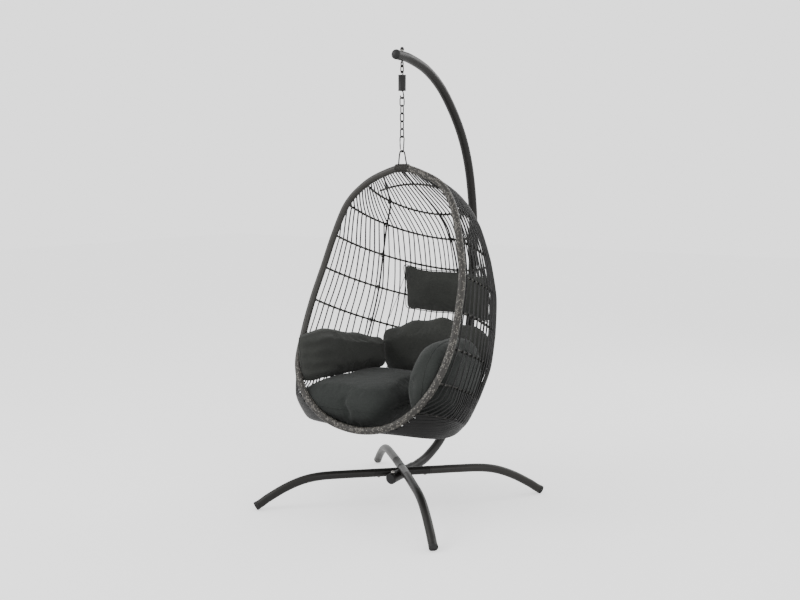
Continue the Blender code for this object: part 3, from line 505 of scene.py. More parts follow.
# ---------------------------------------------------------------- stand
def build_leg(name, turn, bar_height):
    outward = heading(turn)
    slope = (outward * math.cos(FOOT_SLOPE) - Vector((0, 0, math.sin(FOOT_SLOPE)))).normalized()
    height = FOOT_CAP_RADIUS * math.cos(FOOT_SLOPE) - FOOT_FLAT
    end = on_axis(0, 0, height) + outward * (LEG_REACH + FOOT_CAP_RADIUS * math.sin(FOOT_SLOPE))
    tube_end = end - slope * (FOOT_CAP_LENGTH + GAP)
    first_reach = LEG_PROFILE[0][0]
    points = []
    for reach, drop in LEG_PROFILE:
        settle = (reach - first_reach) / (LEG_REACH - first_reach)
        bar = bar_height + (LOW_BAR - bar_height) * settle - drop
        points.append(on_axis(0, 0, bar) + outward * reach)
    seam = points[0] - outward * (first_reach - STUB_REACH - GAP)
    points.append(tube_end - slope * LEG_RADIUS)
    leg = tube_object("leg_%s_tube" % name, [[seam] + smooth(points, 10) + [tube_end]], LEG_RADIUS,
                      sides=32)
    # the rear legs take the lighter copy of the coat, which is painted light
    ready(leg, "stand", PAINTED_LIGHT_REAR_STEEL if "rear" in name else STEEL, "leg_" + name)

    edge = 0.002
    cap = turned_object("foot_plug_" + name,
                        [(0, 0), (FOOT_CAP_RADIUS - edge, 0), (FOOT_CAP_RADIUS - 0.3 * edge, 0.3 * edge),
                         (FOOT_CAP_RADIUS, edge), (FOOT_CAP_RADIUS, FOOT_CAP_LENGTH - edge),
                         (FOOT_CAP_RADIUS - 0.3 * edge, FOOT_CAP_LENGTH - 0.3 * edge),
                         (FOOT_CAP_RADIUS - edge, FOOT_CAP_LENGTH), (0.011, FOOT_CAP_LENGTH),
                         (0.010, FOOT_CAP_LENGTH - 0.001), (0, FOOT_CAP_LENGTH - 0.001)],
                        end - slope * FOOT_CAP_LENGTH, slope)
    for vertex in cap.data.vertices:
        vertex.co.z = max(vertex.co.z, 0.0)
    ready(cap, "stand", PLASTIC, "foot_cap_" + name)

    under = on_axis(0, 0, bar_height - LEG_RADIUS - GAP) + outward * (STUB_REACH - 0.020)
    bolt = turned_object("leg_bolt_head_" + name,
                         [(0, 0), (0.0070, 0), (0.0070, 0.0006), (0.0056, 0.0008), (0.0054, 0.0026),
                          (0.0044, 0.0034), (0.0024, 0.0034), (0.0022, 0.0018), (0, 0.0018)],
                         under, Vector((0, 0, -1)), sides=24)
    ready(bolt, "stand", BRIGHT, "leg_bolt_" + name)


def build_hub():
    along = Vector((0, math.cos(HUB_TILT), math.sin(HUB_TILT)))
    centre = on_axis(0, 0, HUB_HEIGHT)
    bore = POST_RADIUS + 0.0006
    lip = 0.0015
    length = HUB_REAR - HUB_FRONT
    hub = turned_object("hub_tube",
                        [(0, 0), (HUB_RADIUS - lip, 0), (HUB_RADIUS, lip), (HUB_RADIUS, length - lip),
                         (HUB_RADIUS - lip, length), (bore, length), (bore, 0.006), (0, 0.006)],
                        centre + along * HUB_FRONT, along, sides=64)
    ready(hub, "stand", STEEL, "hub_weldment")
    for name, (turn, bar_height) in LEGS.items():
        outward = heading(turn)
        start = on_axis(0, 0, bar_height)
        edge = 0.0009
        stub = turned_object("hub_stub_" + name,
                             [(0, 0), (LEG_RADIUS, 0), (LEG_RADIUS, STUB_REACH - 4 * edge),
                              (LEG_RADIUS + 0.0004, STUB_REACH - 3 * edge),
                              (LEG_RADIUS + 0.0004, STUB_REACH - edge),
                              (LEG_RADIUS - edge, STUB_REACH), (0, STUB_REACH)], start, outward)
        ready(stub, "stand", STEEL, "hub_weldment")
        bead = []
        for step in range(WELD_POINTS):
            around = 2 * math.pi * step / WELD_POINTS
            side = Vector((-outward.y, outward.x, 0)) * math.cos(around) * LEG_RADIUS
            point = start + side + Vector((0, 0, LEG_RADIUS * math.sin(around)))
            reach = 0.0
            while reach < 0.07:
                away = point + outward * reach - centre
                away -= along * away.dot(along)
                if away.length > HUB_RADIUS:
                    break
                reach += 0.0004
            wobble = 0.0004 * math.sin(around * 22)
            bead.append(point + outward * (reach + wobble))
        weld = tube_object("weld_bead_" + name, [bead], 0.0014, sides=8, closed=True)
        ready(weld, "stand", STEEL, "hub_weldment")

    lift = Vector((0, -along.z, along.y))
    cap = turned_object("hub_end_cap",
                        [(0, 0), (HUB_RADIUS + 0.0004, 0), (HUB_RADIUS + 0.0004, 0.005),
                         (HUB_RADIUS - 0.0010, 0.0072), (HUB_RADIUS - 0.0045, 0.0092), (0.008, 0.0100),
                         (0, 0.0100)], centre + along * (HUB_FRONT - GAP), -along)
    ready(cap, "stand", PLASTIC, "post_bottom_cap")
    seat = centre + along * (HUB_FRONT + 0.014) + lift * (HUB_RADIUS + GAP)
    bolt = turned_object("lock_bolt_head",
                         [(0, 0), (0.0082, 0), (0.0082, 0.0009), (0.0075, 0.0012), (0.0072, 0.0030),
                          (0.0062, 0.0048), (0.0044, 0.0058), (0.0028, 0.0060), (0.0026, 0.0040),
                          (0, 0.0040)], seat, lift, sides=32)
    ready(bolt, "stand", BRIGHT, "post_lock_bolt")
    return centre, along


def build_post(centre, along):
    joint = on_axis(0, *POST_JOINT)
    down = Vector((0, -math.sin(JOINT_LEAN), -math.cos(JOINT_LEAN)))
    lower_points = [joint + down * JOINT_STRAIGHT] + [on_axis(0, y, z) for y, z in POST_LOWER]
    lower = [joint + down * GAP] + smooth(lower_points, 14)
    lower.append(centre + along * (HUB_FRONT + 0.012))
    ready(tube_object("post_lower_tube", [lower], POST_RADIUS, sides=40), "stand", STEEL, "post_lower")
    upper_points = [on_axis(0, y, z) for y, z in POST_UPPER] + [joint - down * JOINT_STRAIGHT]
    upper = smooth(upper_points, 12) + [joint - down * GAP]
    ready(tube_object("post_upper_tube", [upper], POST_RADIUS, sides=40), "stand", STEEL, "post_upper")
    outward = (upper[0] - smooth(upper_points, 2)[1]).normalized()
    cap = turned_object("post_dome_cap",
                        [(0, 0), (POST_RADIUS + 0.0004, 0), (POST_RADIUS + 0.0006, 0.0010),
                         (POST_RADIUS + 0.0004, 0.0055), (POST_RADIUS - 0.0008, 0.0095),
                         (POST_RADIUS * 0.78, 0.0135), (POST_RADIUS * 0.5, 0.0163),
                         (POST_RADIUS * 0.25, 0.0176), (0, 0.0180)], upper[0] + outward * GAP, outward)
    ready(cap, "stand", PLASTIC, "post_top_cap")


def arc(across, height, radius, first, last, steps):
    """Points (across, height) round a centre, from one angle to another in degrees."""
    points = []
    for step in range(steps + 1):
        angle = math.radians(first + (last - first) * step / steps)
        points.append((across + radius * math.cos(angle), height + radius * math.sin(angle)))
    return points


def oval(turn, half_width, half_height, centre_height, steps=14):
    """Centre line of an upright link with round ends and straight sides."""
    straight = half_height - half_width
    points = []
    for end in (1, -1):
        for step in range(steps + 1):
            angle = math.pi * step / steps
            across = half_width * math.cos(angle) * end
            points.append(turned_point(turn, across, centre_height
                                       + (half_width * math.sin(angle) + straight) * end))
    return points


def build_eye_bolt():
    eye = tube_object("eye_ring", [oval(90, 0.0070, (EYE_TOP - EYE_BOTTOM) / 2,
                                        (EYE_TOP + EYE_BOTTOM) / 2)], EYE_WIRE, sides=16, closed=True)
    ready(eye, "stand", HARDWARE, "eye_bolt")
    shank = [(0, 0), (0.0038, 0)]
    rise = 0.0
    while rise < POST_CREST + 0.004 - EYE_TOP:
        shank += [(0.0038, rise + 0.0003), (0.0034, rise + 0.0008)]
        rise += 0.0010
    shank += [(0.0034, rise), (0, rise)]
    ready(turned_object("eye_shank", shank, on_axis(0, 0, EYE_TOP - 0.001), Vector((0, 0, 1)), 24),
          "stand", HARDWARE, "eye_bolt")
    washer = turned_object("flat_washer", [(0.0042, 0), (0.0092, 0), (0.0095, 0.0003), (0.0095, 0.0015),
                                           (0.0092, 0.0018), (0.0042, 0.0018), (0.0042, 0)],
                           on_axis(0, 0, POST_CREST), Vector((0, 0, 1)))
    ready(washer, "stand", BRIGHT, "eye_bolt_washer")
    nut = turned_object("cap_nut", [(0, 0), (0.0084, 0), (0.0088, 0.0004), (0.0088, 0.0056),
                                    (0.0084, 0.0061), (0.0073, 0.0063), (0.0072, 0.0082),
                                    (0.0066, 0.0100), (0.0052, 0.0116), (0.0028, 0.0127), (0, 0.0130)],
                        on_axis(0, 0, POST_CREST + 0.0018 + GAP), Vector((0, 0, 1)))
    ready(nut, "stand", PLASTIC, "eye_bolt_cap_nut")


# ---------------------------------------------------------------- spring and chain
def build_spring():
    upper_centre = EYE_BOTTOM + EYE_WIRE + LINK_WIRE + GAP - UPPER_LINK_HALF_HEIGHT
    link = tube_object("upper_link_ring", [oval(0, UPPER_LINK_HALF_WIDTH, UPPER_LINK_HALF_HEIGHT,
                                                upper_centre)], LINK_WIRE, sides=16, closed=True)
    ready(link, "upper_link", HARDWARE, "upper_link")

    radius = 0.0066
    hook_centre = upper_centre - UPPER_LINK_HALF_HEIGHT + LINK_WIRE + SPRING_WIRE + GAP - radius
    hook = [turned_point(90, -across, height)
            for across, height in arc(0, hook_centre, radius, -30, 210, 24)]
    neck = [turned_point(90, 0.0045, hook_centre - 0.0085), turned_point(90, 0, hook_centre - 0.0130),
            turned_point(90, 0, COIL_TOP + 0.0025)]
    line = hook[:-1] + smooth([hook[-1]] + neck, 5)
    ready(tube_object("spring_eye_wire", [line], SPRING_WIRE, sides=16), "spring_top", HARDWARE,
          "spring_top_hook")

    wall = 0.0015
    tall = SLEEVE_TOP - SLEEVE_BOTTOM
    sleeve = turned_object("spring_cover",
                           [(SLEEVE_RADIUS - wall, 0), (SLEEVE_RADIUS - 0.0005, 0),
                            (SLEEVE_RADIUS, 0.0007), (SLEEVE_RADIUS, 0.0040),
                            (SLEEVE_RADIUS - 0.0004, 0.0046), (SLEEVE_RADIUS - 0.0004, tall - 0.0046),
                            (SLEEVE_RADIUS, tall - 0.0040), (SLEEVE_RADIUS, tall - 0.0007),
                            (SLEEVE_RADIUS - 0.0005, tall), (SLEEVE_RADIUS - wall, tall),
                            (SLEEVE_RADIUS - wall, 0)], on_axis(0, 0, SLEEVE_BOTTOM), Vector((0, 0, 1)))
    ready(sleeve, "spring_cover", PLASTIC, "spring_sleeve")

    coil = []
    for step in range(COIL_TURNS * COIL_STEPS + 1):
        angle = 2 * math.pi * step / COIL_STEPS
        height = COIL_TOP + (COIL_BOTTOM - COIL_TOP) * step / (COIL_TURNS * COIL_STEPS)
        coil.append(on_axis(COIL_RADIUS * math.cos(angle), COIL_RADIUS * math.sin(angle), height))
    along = np.zeros(1)
    spring = textured_tube("extension_coil", coil, COIL_WIRE * 0.92,
                           lambda distance, angle: (along, along), sides=10)
    spring.data.materials.append(HARDWARE)
    bpy.context.scene.collection.objects.link(spring)
    spring.data.shade_smooth()
    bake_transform(spring)
    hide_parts("spring_coil")

    lower_centre = LOWER_HOOK_BOTTOM + LOWER_HOOK_RADIUS
    turn = LOWER_HOOK_TURN
    lower = [turned_point(turn, 0, COIL_BOTTOM - 0.0025), turned_point(turn, 0, SLEEVE_BOTTOM + 0.0025),
             turned_point(turn, 0.0065, SLEEVE_BOTTOM - 0.0055)]
    bend = [turned_point(turn, *point) for point in arc(0, lower_centre, LOWER_HOOK_RADIUS, 30, -190, 24)]
    line = smooth(lower + bend[:1], 5)[:-1] + bend
    ready(tube_object("spring_hook_wire", [line], SPRING_WIRE, sides=16), "chain", HARDWARE,
          "spring_lower_hook")


def build_chain():
    carrier = LOWER_HOOK_BOTTOM + SPRING_WIRE
    for number, turn in enumerate(LINK_TURNS, 1):
        centre = carrier + GAP + LINK_WIRE - LINK_HALF_HEIGHT
        link = "link_%d" % number
        ring = tube_object(link + "_ring", [oval(turn, LINK_HALF_WIDTH, LINK_HALF_HEIGHT, centre)],
                           LINK_WIRE, sides=16, closed=True)
        ready(ring, "chain", PLASTIC, "chain_" + link)
        weld = [turned_point(turn, LINK_HALF_WIDTH, centre + rise) for rise in (-0.0016, 0, 0.0016)]
        ready(tube_object(link + "_weld", [weld], LINK_WIRE + 0.0003, sides=16), "chain", PLASTIC,
              "chain_" + link)
        carrier = centre - LINK_HALF_HEIGHT + LINK_WIRE
    build_carabiner(carrier + GAP + CARABINER_WIRE)


def build_carabiner(top):
    wide, narrow = CARABINER_WIDE, CARABINER_NARROW
    gate_top = (-wide - 0.0002, top - 0.0240)
    gate_bottom = (-narrow - GATE_PIVOT_ACROSS, CARABINER_BOTTOM + GATE_PIVOT_RISE)
    outline = [(gate_top[0], gate_top[1] + 0.0008)]
    outline += arc(0, top - wide, wide, 185, 0, 18)
    outline += arc(0, CARABINER_BOTTOM + narrow, narrow, -10, -185, 18)
    line = [turned_point(CARABINER_TURN, *point) for point in outline]
    ready(tube_object("carabiner_frame", [line], CARABINER_WIRE, sides=16), "chain", HARDWARE,
          "carabiner_body")
    gate = [turned_point(CARABINER_TURN, *gate_top), turned_point(CARABINER_TURN, *gate_bottom)]
    gate[1] = gate[1].lerp(gate[0], GATE_END_ROOM / (gate[1] - gate[0]).length)
    ready(tube_object("carabiner_gate_bar", [gate], 0.0022, sides=16), "gate", HARDWARE, "carabiner_gate")
    sleeve = [gate[0].lerp(gate[1], part) for part in (0.30, 0.42, 0.62)]
    ready(tube_object("carabiner_gate_grip", [sleeve], 0.0026, sides=16), "gate", HARDWARE,
          "carabiner_gate")


# ---------------------------------------------------------------- basket surface
RIM_HALF = smooth([Vector(point) for point in RIM_OUTLINE], 6)


def rim_at_height(height):
    for first, second in zip(RIM_HALF, RIM_HALF[1:]):
        if second.z <= height <= first.z:
            return first.lerp(second, (first.z - height) / max(first.z - second.z, 1e-9))
    return RIM_HALF[-1]


def rim_at_width(width, top):
    line = RIM_HALF if top else RIM_HALF[::-1]
    for first, second in zip(line, line[1:]):
        if first.x <= abs(width) <= second.x:
            point = first.lerp(second, (abs(width) - first.x) / max(second.x - first.x, 1e-9))
            return Vector((math.copysign(point.x, width), point.y, point.z))
    return line[0]


def hoop_point(number, across):
    """Point on hoop 1..9; across runs from -1 at the left end to +1 at the right end."""
    height, widest, depth, slope = HOOPS[number - 1]
    end = rim_at_height(height)
    widest = max(widest, end.x + 0.002)
    lead = WIDEST_BEHIND_RIM / (depth - WIDEST_BEHIND_RIM)
    turn = -lead + (1 - abs(across)) * (math.pi / 2 + lead)
    if turn >= 0:
        side = widest * math.cos(turn)
        back = WIDEST_BEHIND_RIM + (depth - WIDEST_BEHIND_RIM) * math.sin(turn)
    else:
        side = widest - (widest - end.x) * (turn / lead) ** 2
        back = WIDEST_BEHIND_RIM * (1 + turn / lead)
    angle = math.radians(slope)
    return Vector((math.copysign(side, across), end.y + back * math.cos(angle),
                   height - back * math.sin(angle)))


def level_point(number, across):
    if number <= 0:
        return rim_at_width(TOP_ARC * across, True)
    if number >= LAST_LEVEL:
        return rim_at_width(BOTTOM_ARC * across, False)
    return hoop_point(number, across)


def basket_point(level, across):
    index = min(int(math.floor(level)), LAST_LEVEL - 1)
    start = level_point(index, across)
    end = level_point(index + 1, across)
    before = level_point(index - 1, across) if index > 0 else 2 * start - end
    after = level_point(index + 2, across) if index + 2 <= LAST_LEVEL else 2 * end - start
    return spline_point(before, start, end, after, level - index)


def basket_offset(level, across, outward):
    """Point on the egg surface moved outward along its normal, in the CAD's frame."""
    small = 0.01
    low = max(level - small, 0.0)
    high = min(level + small, LAST_LEVEL)
    down = basket_point(high, across) - basket_point(low, across)
    over = basket_point(level, min(across + small, 1)) - basket_point(level, max(across - small, -1))
    point = basket_point(level, across)
    normal = down.cross(over).normalized()
    if normal.dot(point - INSIDE_POINT) < 0:
        normal = -normal
    return on_axis(*(point + normal * outward))


# ---------------------------------------------------------------- basket pieces
def step_between(value, low, high):
    part = np.clip((value - low) / (high - low), 0, 1)
    return part * part * (3 - 2 * part)


def rope(starts, lead, depth):
    """Relief of several strands twisted round a core, each with its own tone."""
    def relief(along, angle):
        phase = starts * (along / lead - angle / (2 * math.pi))
        strand = np.mod(np.floor(phase), starts)
        part = phase - np.floor(phase)
        height = depth * (np.sqrt(np.abs(np.sin(math.pi * part))) - 1)
        tone = 0.25 + 0.6 * cell_tone(strand + 1, 5.0) * (0.6 + 0.4 * np.sin(along * 190 + 2 * strand))
        return height, tone
    return relief


BRAID_ROWS = 16                 # braided cells round the rim and their length along it
BRAID_PITCH = 0.0092


def rim_relief(length):
    """The rim's cover: smooth winding up its left side, coarse braid elsewhere, with painted shade in the
    braid's grooves and painted highlight on its cells.
    """
    def relief(along, angle):
        share = along / length
        braided = 1 - step_between(share, 0.62, 0.70) * (1 - step_between(share, 0.985, 1.0))
        winding = along / 0.0058 - angle / (2 * math.pi)
        turn_part = winding - np.floor(winding)
        smooth_height = 0.00045 * (np.sqrt(np.abs(np.sin(math.pi * turn_part))) - 1)
        smooth_tone = 0.22 + 0.10 * cell_tone(np.floor(along / 0.0058), 2.0)
        row = np.floor(angle / (2 * math.pi) * BRAID_ROWS)
        shifted = along / BRAID_PITCH + 0.5 * np.mod(row, 2)
        column_part = shifted - np.floor(shifted)
        row_part = angle / (2 * math.pi) * BRAID_ROWS - row
        bump = np.sin(math.pi * column_part) * np.sqrt(np.abs(np.sin(math.pi * row_part)))
        fleck = cell_tone(np.floor(shifted) + 7, row + 3)
        coarse_height = 0.0018 * bump - 0.0009
        # painted shade and highlight: the braid's tone follows its relief, darkest in the grooves and
        # lightest on the cells' crests; the random light flecks are the cover's own speckle, shaded the same
        # way
        braid_tone_painted_shade = np.clip(0.12 + 0.30 * bump + 0.55 * (fleck > 0.66) * bump, 0, 1)
        return (braided * coarse_height + (1 - braided) * smooth_height,
                braided * braid_tone_painted_shade + (1 - braided) * smooth_tone)
    return relief


def build_rim():
    half = [Vector(point) for point in RIM_OUTLINE]
    mirrored = [Vector((-point.x, point.y, point.z)) for point in half[-2:0:-1]]
    outline = smooth([on_axis(*point) for point in half + mirrored], 12, closed=True)
    line = spaced(outline, 0.0016, closed=True)
    length = 0.0016 * len(line)
    rim = textured_tube("rim_braid", line, RIM_RADIUS, rim_relief(length), sides=44, closed=True)
    ready(rim, "basket", RIM_WICKER, "rim")
    return outline


def braided_rod(name, points):
    """A thin rod covered with three twisted strands."""
    return textured_tube(name, spaced(points, 0.0019), HOOP_RADIUS - 0.0003, rope(3, 0.017, 0.0009),
                         sides=14)


def build_hoops(outline):
    for number in range(1, len(HOOPS) + 1):
        fine = [on_axis(*hoop_point(number, -1 + 2 * step / 160)) for step in range(161)]
        start = RIM_RADIUS - 0.002
        keep = [point for point in fine
                if min((point - rim_point).length for rim_point in outline) > start]
        ready(braided_rod("hoop_winding_%d" % number, keep), "basket", HOOP_WICKER, "hoop_%d" % number)


def ring_round(centre, axis, radius, wire, turns=1.0, drift=0.0):
    """Points of a small winding round an axis, as one line."""
    axis = axis.normalized()
    side = axis.orthogonal().normalized()
    other = axis.cross(side)
    count = max(8, int(12 * turns))
    points = []
    for step in range(count + 1):
        angle = 2 * math.pi * turns * step / count
        points.append(centre + (side * math.cos(angle) + other * math.sin(angle)) * (radius + wire)
                      + axis * drift * (step / count - 0.5))
    return points


def build_ribs():
    for name, (across, upper, lower) in RIBS.items():
        for piece, visual in (("rib_top_", (upper[0] - 0.08, upper[1] + 0.09)),
                              ("rib_", (lower[0] - 0.10, lower[1] + 0.2))):
            steps = 90
            points = []
            for step in range(steps + 1):
                level = min(visual[0] + (visual[1] - visual[0]) * step / steps, 9.93)
                points.append(basket_offset(level, across, -(HOOP_RADIUS + RIB_RADIUS + 0.0012)))
            rod = textured_tube(piece + name + "_winding", spaced(points, 0.0024), RIB_RADIUS,
                                rope(2, 0.012, 0.0006), sides=12)
            ready(rod, "basket", STRAND_WICKER, piece + name)
    ties = []
    for across, _, _ in RIBS.values():
        for number in range(1, len(HOOPS) + 1):
            centre = basket_offset(number, across, -HOOP_RADIUS)
            down = basket_offset(min(number + 0.1, 10), across, 0) - basket_offset(number - 0.1, across, 0)
            over = hoop_point(number, min(across + 0.02, 1)) - hoop_point(number, across - 0.02)
            for lean in (0.55, -0.55):
                ties.append(ring_round(centre, over.normalized() + down.normalized() * lean,
                                       0.0092, 0.0010, 2.0, 0.006))
    ready(tube_object("rib_lashings", ties, 0.0011, sides=6), "basket", STRAND_WICKER)


def build_crossbar():
    bar = []
    for step in range(41):
        part = -1 + 2 * step / 40
        rise = CROSSBAR_RISE * (1 - part ** 2)
        bar.append(on_axis(CROSSBAR_HALF * part, CROSSBAR_BACK, CROSSBAR_HEIGHT + rise))
    ready(braided_rod("crossbar_winding", bar), "basket", HOOP_WICKER, "crossbar")


def build_loop():
    foot = RIM_OUTLINE[0][2] + RIM_RADIUS + 0.0008
    loop = [on_axis(-0.0203, 0.0048, foot - 0.012), on_axis(-0.0200, 0.004, foot),
            on_axis(-0.0165, 0.002, foot + 0.022), on_axis(-0.0125, 0.001, LOOP_APEX - 0.012),
            on_axis(-0.0075, 0.0, LOOP_APEX - 0.0028), on_axis(0.0, 0.0, LOOP_APEX)]
    loop += [Vector((-point.x, point.y, point.z)) for point in loop[-2::-1]]
    ready(tube_object("hanging_loop_wire", [smooth(loop, 8)], LOOP_WIRE, sides=16), "basket", HARDWARE,
          "hanging_loop")
    wraps = []
    crown = on_axis(0, RIM_OUTLINE[0][1], RIM_OUTLINE[0][2])
    for step in range(13):
        x = -0.030 + 0.060 * step / 12
        slope = Vector((1, 0, -1.1 * x))
        centre = crown + Vector((x, 0, -1.1 * x * x))
        wraps.append(ring_round(centre, slope, RIM_RADIUS + 0.0004, 0.0016, 1.0, 0.0045))
    ready(tube_object("loop_lashing", wraps, 0.0016, sides=8), "basket", BINDING)


# share of the strands that reach each level; the others start or end on the rim beside it
STRANDS = 53
STRAND_SPREAD = 0.972           # place of the outermost strands, as a share of the half width
FILLED_BELOW = 7.0              # level where a second strand starts between every two
REACHED = ((0.0, 0.50), (1.0, 0.66), (2.0, 0.92), (3.0, 1.0), (7.4, 1.0), (8.0, 0.95), (9.0, 0.66),
           (10.0, 0.44))


def reached_at(level):
    return float(np.interp(level, [entry[0] for entry in REACHED], [entry[1] for entry in REACHED]))


def build_strands():
    """Round strands from the rim's top to its bottom, looped round the hoops, with more low down."""
    generator = random.Random(11)
    runs = []
    loops = []
    for index in range(2 * STRANDS - 1):
        share = -STRAND_SPREAD + 2 * STRAND_SPREAD * index / (2 * STRANDS - 2)
        first = 0.02 if index % 2 == 0 else FILLED_BELOW
        inside = [0.02 + 9.96 * step / 200 for step in range(201)]
        inside = [level for level in inside
                  if level >= first and abs(share) <= reached_at(level) * 0.995]
        if not inside:
            continue
        lean = [generator.uniform(-0.006, 0.006) + 0.0045 * (-1) ** (index + number)
                for number in range(LAST_LEVEL + 1)]
        points = []
        for level in inside:
            base = int(math.floor(level))
            part = level - base
            across = share / reached_at(level)
            shift = lean[base] * (1 - part) + lean[min(base + 1, LAST_LEVEL)] * part
            across = max(-1, min(1, across + shift * (1 - across ** 4)))
            sag = math.sin(math.pi * part)
            points.append(basket_offset(level, across, HOOP_RADIUS + STRAND_RADIUS - 0.0012 * sag))
        runs.append(points)
        for number in range(1, len(HOOPS) + 1):
            across = share / reached_at(number)
            if abs(across) > 0.985 or number < first:
                continue
            across += lean[number] * (1 - across ** 4)
            centre = on_axis(*hoop_point(number, across))
            over = hoop_point(number, min(across + 0.01, 1)) - hoop_point(number, max(across - 0.01, -1))
            loops.append(ring_round(centre, over, HOOP_RADIUS - 0.0006, 0.0010, 1.25, 0.0055))
    nets = ["wicker_net_left", "wicker_net_back_left", "wicker_net_back_right", "wicker_net_right"]
    ready(tube_object("strands", runs, STRAND_RADIUS, sides=6), "basket", STRAND_WICKER, *nets)
    ready(tube_object("strand_loops", loops, 0.0009, sides=6), "basket", STRAND_WICKER, *nets)


# ---------------------------------------------------------------- cushions
class Cushion(NamedTuple):
    centre: tuple               # from the hanging axis
    size: tuple
    turns: tuple                # degrees about X, Y and Z
    lower: float                # width of its lower edge, as a share of the upper
    rear: float                 # width of its rear edge, as a share of the front
    thin: int                   # the axis of its thickness
    outline: float              # squareness of its outline, and of its section
    section: float
    pull: float                 # how much the stretched cloth draws its sides in


CUSHIONS = {
    "seat_cushion": Cushion((-0.107, -0.044, 0.458), (0.500, 0.586, 0.198), (0, 0, 0), 0.82, 0.88,
                            2, 4.5, 2.8, 0.010),
    "back_cushion": Cushion((-0.004, 0.285, 0.632), (0.650, 0.106, 0.304), (3, 0, 0), 1.00, 0.86,
                            1, 8.0, 2.8, 0.006),
    "left_wing_cushion": Cushion((-0.290, -0.036, 0.641), (0.124, 0.536, 0.230), (0, -8, -8), 1, 1,
                                 0, 7.0, 2.8, 0.006),
    "right_wing_cushion": Cushion((0.258, -0.062, 0.574), (0.186, 0.466, 0.366), (0, 8, 6), 1, 1,
                                  0, 2.8, 2.8, 0.0),
    "head_pillow": Cushion((0.008, 0.345, 0.880), (0.482, 0.042, 0.226), (11, 3.5, 0), 1, 1,
                           1, 14.0, 2.0, 0.030),
}
CUSHION_CLEARANCE = 0.0062      # from the egg surface to a cushion pressed against the hoops
RIB_CLEARANCE = 0.0115          # how much further in the cushions stay where a rib passes
RIM_CLEARANCE = 0.0030
RIM_REACH = 0.060               # cushion points nearer the rim than this are kept off it
CLOTH_STEP = 0.0085             # spacing of the simulated cloth's points
CLOTH_FRAMES = 20
START_THICKNESS = 0.86          # the cover starts thinner than the stuffed cushion
SEAM_SHRINK = 0.05
# furthest that the filling may push each cover out from its start
PUFF_LIMIT = {"seat_cushion": 0.016, "back_cushion": 0.014, "left_wing_cushion": 0.015,
              "right_wing_cushion": 0.015, "head_pillow": 0.011}


def cushion_frame(name):
    turns = CUSHIONS[name].turns
    turned = Matrix.Rotation(math.radians(turns[2]), 4, "Z") @ Matrix.Rotation(
        math.radians(turns[1]), 4, "Y") @ Matrix.Rotation(math.radians(turns[0]), 4, "X")
    return Matrix.Translation(on_axis(*CUSHIONS[name].centre)) @ turned


def cushion_start(name):
    """A closed crowned form in the cushion's own axes, with its seam round the middle."""
    _, size, _, lower, rear, thin, outline, section, pull = CUSHIONS[name]
    flat_axes = [axis for axis in range(3) if axis != thin]
    work = bmesh.new()
    counts = [2 * max(2, round(size[axis] / CLOTH_STEP / 2)) for axis in range(3)]
    mesh = bpy.data.meshes.new(name + "_cloth")
    corners = {}

    def vertex(place):
        key = tuple(round(value, 5) for value in place)
        if key not in corners:
            corners[key] = work.verts.new(place)
        return corners[key]

    for fixed in range(3):
        first, second = [axis for axis in range(3) if axis != fixed]
        for sign in (-1, 1):
            grid = []
            for i in range(counts[first] + 1):
                row = []
                for j in range(counts[second] + 1):
                    place = [0.0, 0.0, 0.0]
                    place[fixed] = sign
                    place[first] = -1 + 2 * i / counts[first]
                    place[second] = -1 + 2 * j / counts[second]
                    row.append(vertex(place))
                grid.append(row)
            for i in range(counts[first]):
                for j in range(counts[second]):
                    work.faces.new((grid[i][j], grid[i + 1][j], grid[i + 1][j + 1], grid[i][j + 1]))
    bmesh.ops.recalc_face_normals(work, faces=work.faces)
    seam = []
    work.verts.ensure_lookup_table()
    for index, point in enumerate(work.verts):
        u, v = (point.co[axis] for axis in flat_axes)
        w = point.co[thin]
        ring = (abs(u) ** outline + abs(v) ** outline) ** (1 / outline)
        reach = (ring ** section + abs(w) ** section) ** (1 / section)
        if abs(w) < 0.09 and ring > 0.99:
            seam.append(index)
        largest = max(abs(u), abs(v), abs(w))
        u, v, w = (value * largest / max(reach, 1e-6) for value in (u, v, w))
        u, v = u * (1 - pull * (1 - v * v)), v * (1 - pull * (1 - u * u))
        place = Vector((0, 0, 0))
        place[flat_axes[0]], place[flat_axes[1]], place[thin] = u, v, w
        place = Vector([place[axis] * size[axis] / 2 for axis in range(3)])
        place[thin] *= START_THICKNESS
        place.x *= 1 + (lower - 1) * step_between(-place.z / size[2], -0.5, 0.5)
        place.x *= 1 + (rear - 1) * step_between(place.y / size[1], -0.5, 0.5)
        point.co = place
    work.to_mesh(mesh)
    work.free()
    return bpy.data.objects.new(name + "_cover", mesh), seam


